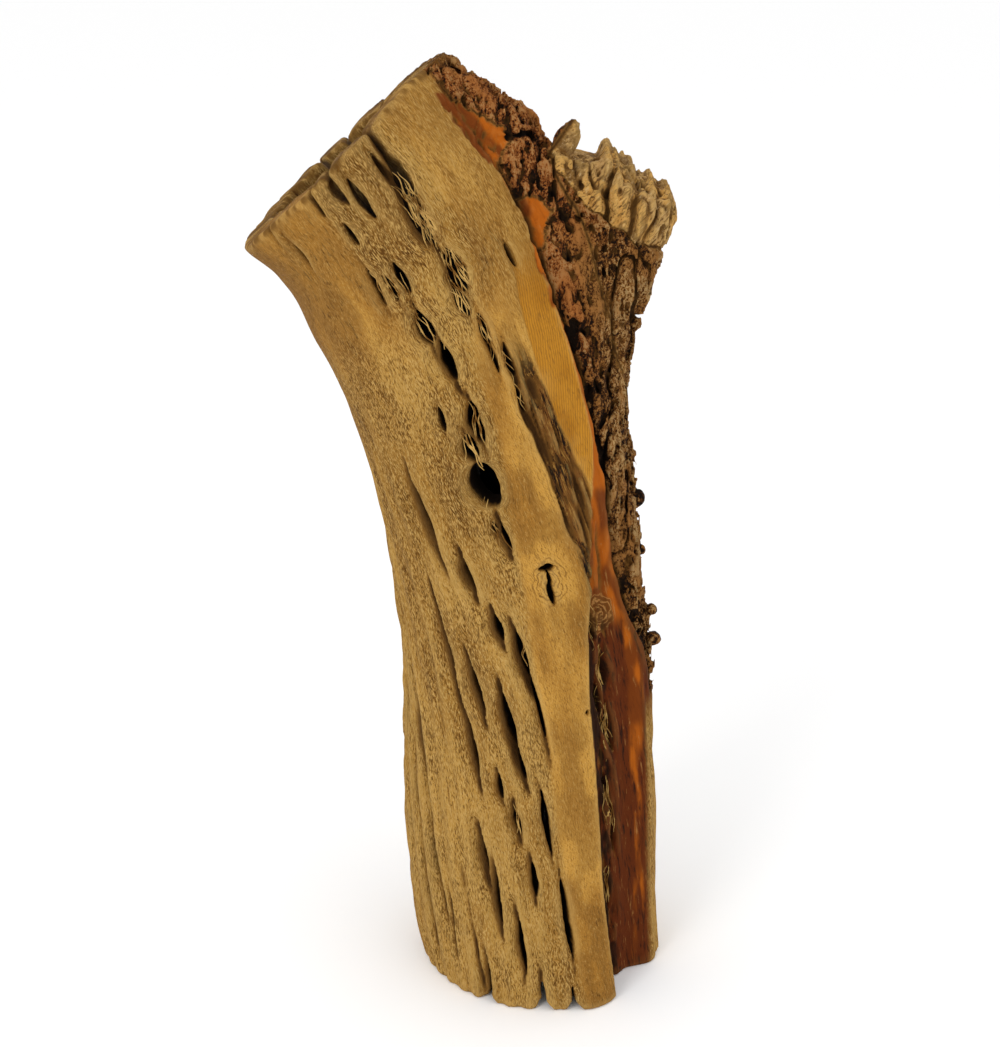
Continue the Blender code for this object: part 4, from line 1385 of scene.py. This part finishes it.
def grow_skeleton():
    """The skin of the whole stem, parted by what it is made of."""
    field, origin = sample_field()
    vertices, quads = skin_mesh(field, origin)
    vertices, quads = largest_part(vertices, quads)
    vertices, triangles, normals = thinned(vertices, quads)
    around = []
    # Closeness of solid round each vertex at two sizes, for painted shade and painted highlight
    for radius in (HOLLOW_RADIUS, SHELTER_RADIUS):
        amount, start = closeness(field, origin, radius)
        around.append(2.0 * read_grid(amount, start, 2.0 * CELL, vertices) - 1.0)
    layers = surface_layers(vertices, *around)
    centre = vertices[triangles].mean(axis=1)
    height, bearing, distance = TRUNK.around(centre)
    crust, torn, inner = (
        layers[name][triangles].mean(axis=1) > 0.5 for name in ("crust", "torn", "inner")
    )
    crust = crust & ~torn
    pith = (distance < PITH_RADIUS + PITH_SKIN) & ~crust & ~torn
    inner = inner & ~crust & ~torn & ~pith
    front = (bearing > FRONT_BEARINGS[0]) & (bearing < FRONT_BEARINGS[1])
    wood = ~crust & ~torn & ~inner & ~pith
    faced = centre[:, 1] < BARK_SEAM
    above, top = (height >= border for border in FRONT_BORDERS)
    upper = height >= BACK_BORDER
    high = height >= BARK_BORDER
    parts = (
        ("branch_stub", "torn_fibre", torn, BARK_SHOWS),
        ("outer_bark_front", "outer_bark", crust & faced, BARK_SHOWS),
        ("outer_bark_back_low", "outer_bark", crust & ~faced & ~high, BARK_SHOWS),
        ("outer_bark_back_high", "outer_bark", crust & ~faced & high, BARK_SHOWS),
        ("inner_bark", "inner_bark", inner, (*FRONT_SHOWS, "crust")),
        ("trunk_front_low", "dry_wood", wood & front & ~above, FRONT_SHOWS),
        ("trunk_front_middle", "dry_wood", wood & front & above & ~top, FRONT_SHOWS),
        ("trunk_front_high", "dry_wood", wood & front & top, FRONT_SHOWS),
        ("trunk_back_low", "dry_wood", wood & ~front & ~upper, BACK_SHOWS),
        ("trunk_back_high", "dry_wood", wood & ~front & upper, BACK_SHOWS),
        ("pith_wall", "dry_wood", pith, ()),
    )
    for name, slot, chosen, shows in parts:
        material = stem_material(name + "_finish", shows)
        make_piece(name, vertices, triangles[chosen], normals, layers, material)


def strand_path(rng, height, bearing, spread, length):
    """Places down one loose fibre, which waves along the grain over the wood and the slots."""
    rise = np.linspace(-0.5, 0.5, STRAND_STEPS) * length + rng.normal(0.0, 0.5 * spread)
    rise = rise.astype(np.float32)
    across = rng.normal(0.0, 0.5 * spread) + rng.uniform(-0.30, 0.30) * rise
    for waves, size in ((0.06, 1.0), (0.13, 0.45)):
        swing = rng.uniform(0.3, 1.0) * size
        across = across + swing * np.sin(2.0 * math.pi * waves * rise + rng.uniform(0.0, 6.3))
    up = height + rise
    turned = np.interp(up, WALL.heights, WALL.turn) - np.interp(height, WALL.heights, WALL.turn)
    side = bearing + turned + np.degrees(across / WOOD_RADIUS)
    wall = WALL.read(up, side)["radius"]
    bridged = WOOD_RADIUS if bearing < STRAND_BRIDGED else PITH_RADIUS
    lifted = np.maximum(wall, bridged - rng.uniform(1.5, 5.0))
    reach = np.convolve(np.pad(lifted, 2, mode="edge"), np.ones(5) / 5.0, mode="valid")
    return up, np.radians(side), reach - rng.uniform(0.0, 0.35)


def grow_fibres():
    """Loose fibres of the weathered wood, each a fine tube that tapers to nothing at its ends."""
    rng = np.random.default_rng(FIBRE_SEED)
    line = TRUNK.curve
    vertices, faces = [], []
    turns = np.arange(STRAND_SIDES) * 2.0 * math.pi / STRAND_SIDES
    taper = np.sin(np.linspace(0.02, 0.98, STRAND_STEPS) * math.pi) ** 0.4
    row = np.arange(STRAND_STEPS - 1)[:, None] * STRAND_SIDES
    next_row = row + STRAND_SIDES
    corner = np.arange(STRAND_SIDES)[None, :]
    beyond = (corner + 1) % STRAND_SIDES
    quads = np.stack((row + corner, row + beyond, next_row + beyond, next_row + corner), axis=-1)
    for height, bearing, spread, count in STRAND_GROUPS:
        for _ in range(count):
            length = rng.uniform(*STRAND_LENGTHS)
            up, side, reach = strand_path(rng, height, bearing, spread, length)
            thick = rng.uniform(*STRAND_RADII) * taper
            x, z, tx, tz = (np.interp(up, line[0], values) for values in line[1:])
            out = np.stack((np.cos(side) * tz, np.sin(side), -np.cos(side) * tx), axis=-1)
            path = np.stack((x, 0.0 * x, z), axis=-1) + reach[:, None] * out
            ahead = np.gradient(path, axis=0)
            ahead /= np.linalg.norm(ahead, axis=1)[:, None]
            beside = np.cross(ahead, out)
            ring = np.cos(turns)[None, :, None] * out[:, None]
            ring = ring + np.sin(turns)[None, :, None] * beside[:, None]
            first = len(vertices) * STRAND_STEPS * STRAND_SIDES
            vertices.append((path[:, None] + thick[:, None, None] * ring).reshape(-1, 3))
            faces.append(first + quads.reshape(-1, 4))
    mesh = new_mesh("loose_fibres", (np.concatenate(vertices) + FOOT) * MM, np.concatenate(faces))
    look = Look("loose_fibres_finish")
    where = look.nodes.new("ShaderNodeTexCoord").outputs["Object"]
    tint = look.noise(where, (180.0, 180.0, 180.0), 3.0, 0.6)
    colour = look.mix(look.step(tint, 0.38, 0.60), WOOD_BROWN, WOOD_LIGHT)
    mesh.materials.append(look.finish(colour, tint, FIBRE_BUMP * MM))
    mesh.shade_smooth()
    place_piece("loose_fibres", mesh)


def add_light(name, place, size, watts):
    """Soft square light that faces the stem."""
    data = bpy.data.lights.new(name, "AREA")
    data.size = size
    data.energy = watts
    light = bpy.data.objects.new(name, data)
    light.location = place
    light.rotation_euler = (Vector(LIGHT_TARGET) - Vector(place)).to_track_quat("-Z", "Y").to_euler()
    bpy.context.scene.collection.objects.link(light)


def add_studio():
    """Pale floor, soft light and the camera of the photograph."""
    scene = bpy.context.scene
    world = bpy.data.worlds.new("studio")
    world.use_nodes = True
    background = world.node_tree.nodes["Background"]
    background.inputs["Color"].default_value = (1.0, 1.0, 1.0, 1.0)
    background.inputs["Strength"].default_value = 1.0
    scene.world = world
    scene.view_settings.view_transform = "Standard"

    mesh = bpy.data.meshes.new("floor")
    sides = ((-1, -1), (1, -1), (1, 1), (-1, 1))
    mesh.from_pydata([(x * FLOOR_HALF, y * FLOOR_HALF, 0.0) for x, y in sides], [], [(0, 1, 2, 3)])
    floor = bpy.data.objects.new("floor", mesh)
    paint = bpy.data.materials.new("floor_paint")
    paint.use_nodes = True
    shader = paint.node_tree.nodes["Principled BSDF"]
    shader.inputs["Base Color"].default_value = (FLOOR_WHITE, FLOOR_WHITE, FLOOR_WHITE, 1.0)
    shader.inputs["Roughness"].default_value = 0.9
    shader.inputs["Specular IOR Level"].default_value = 0.1
    mesh.materials.append(paint)
    scene.collection.objects.link(floor)

    for light in LIGHTS:
        add_light(*light)

    data = bpy.data.cameras.new("camera")
    data.lens = CAMERA_FOCUS * SENSOR
    data.sensor_width = SENSOR
    data.clip_end = 100.0
    camera = bpy.data.objects.new("camera", data)
    back = Vector((0.0, -math.cos(CAMERA_PITCH), math.sin(CAMERA_PITCH)))
    camera.location = Vector(CAMERA_AIM) + CAMERA_DISTANCE * back
    camera.rotation_euler = (math.radians(90.0) - CAMERA_PITCH, 0.0, 0.0)
    scene.collection.objects.link(camera)
    scene.camera = camera


grow_skeleton()
grow_fibres()
add_studio()
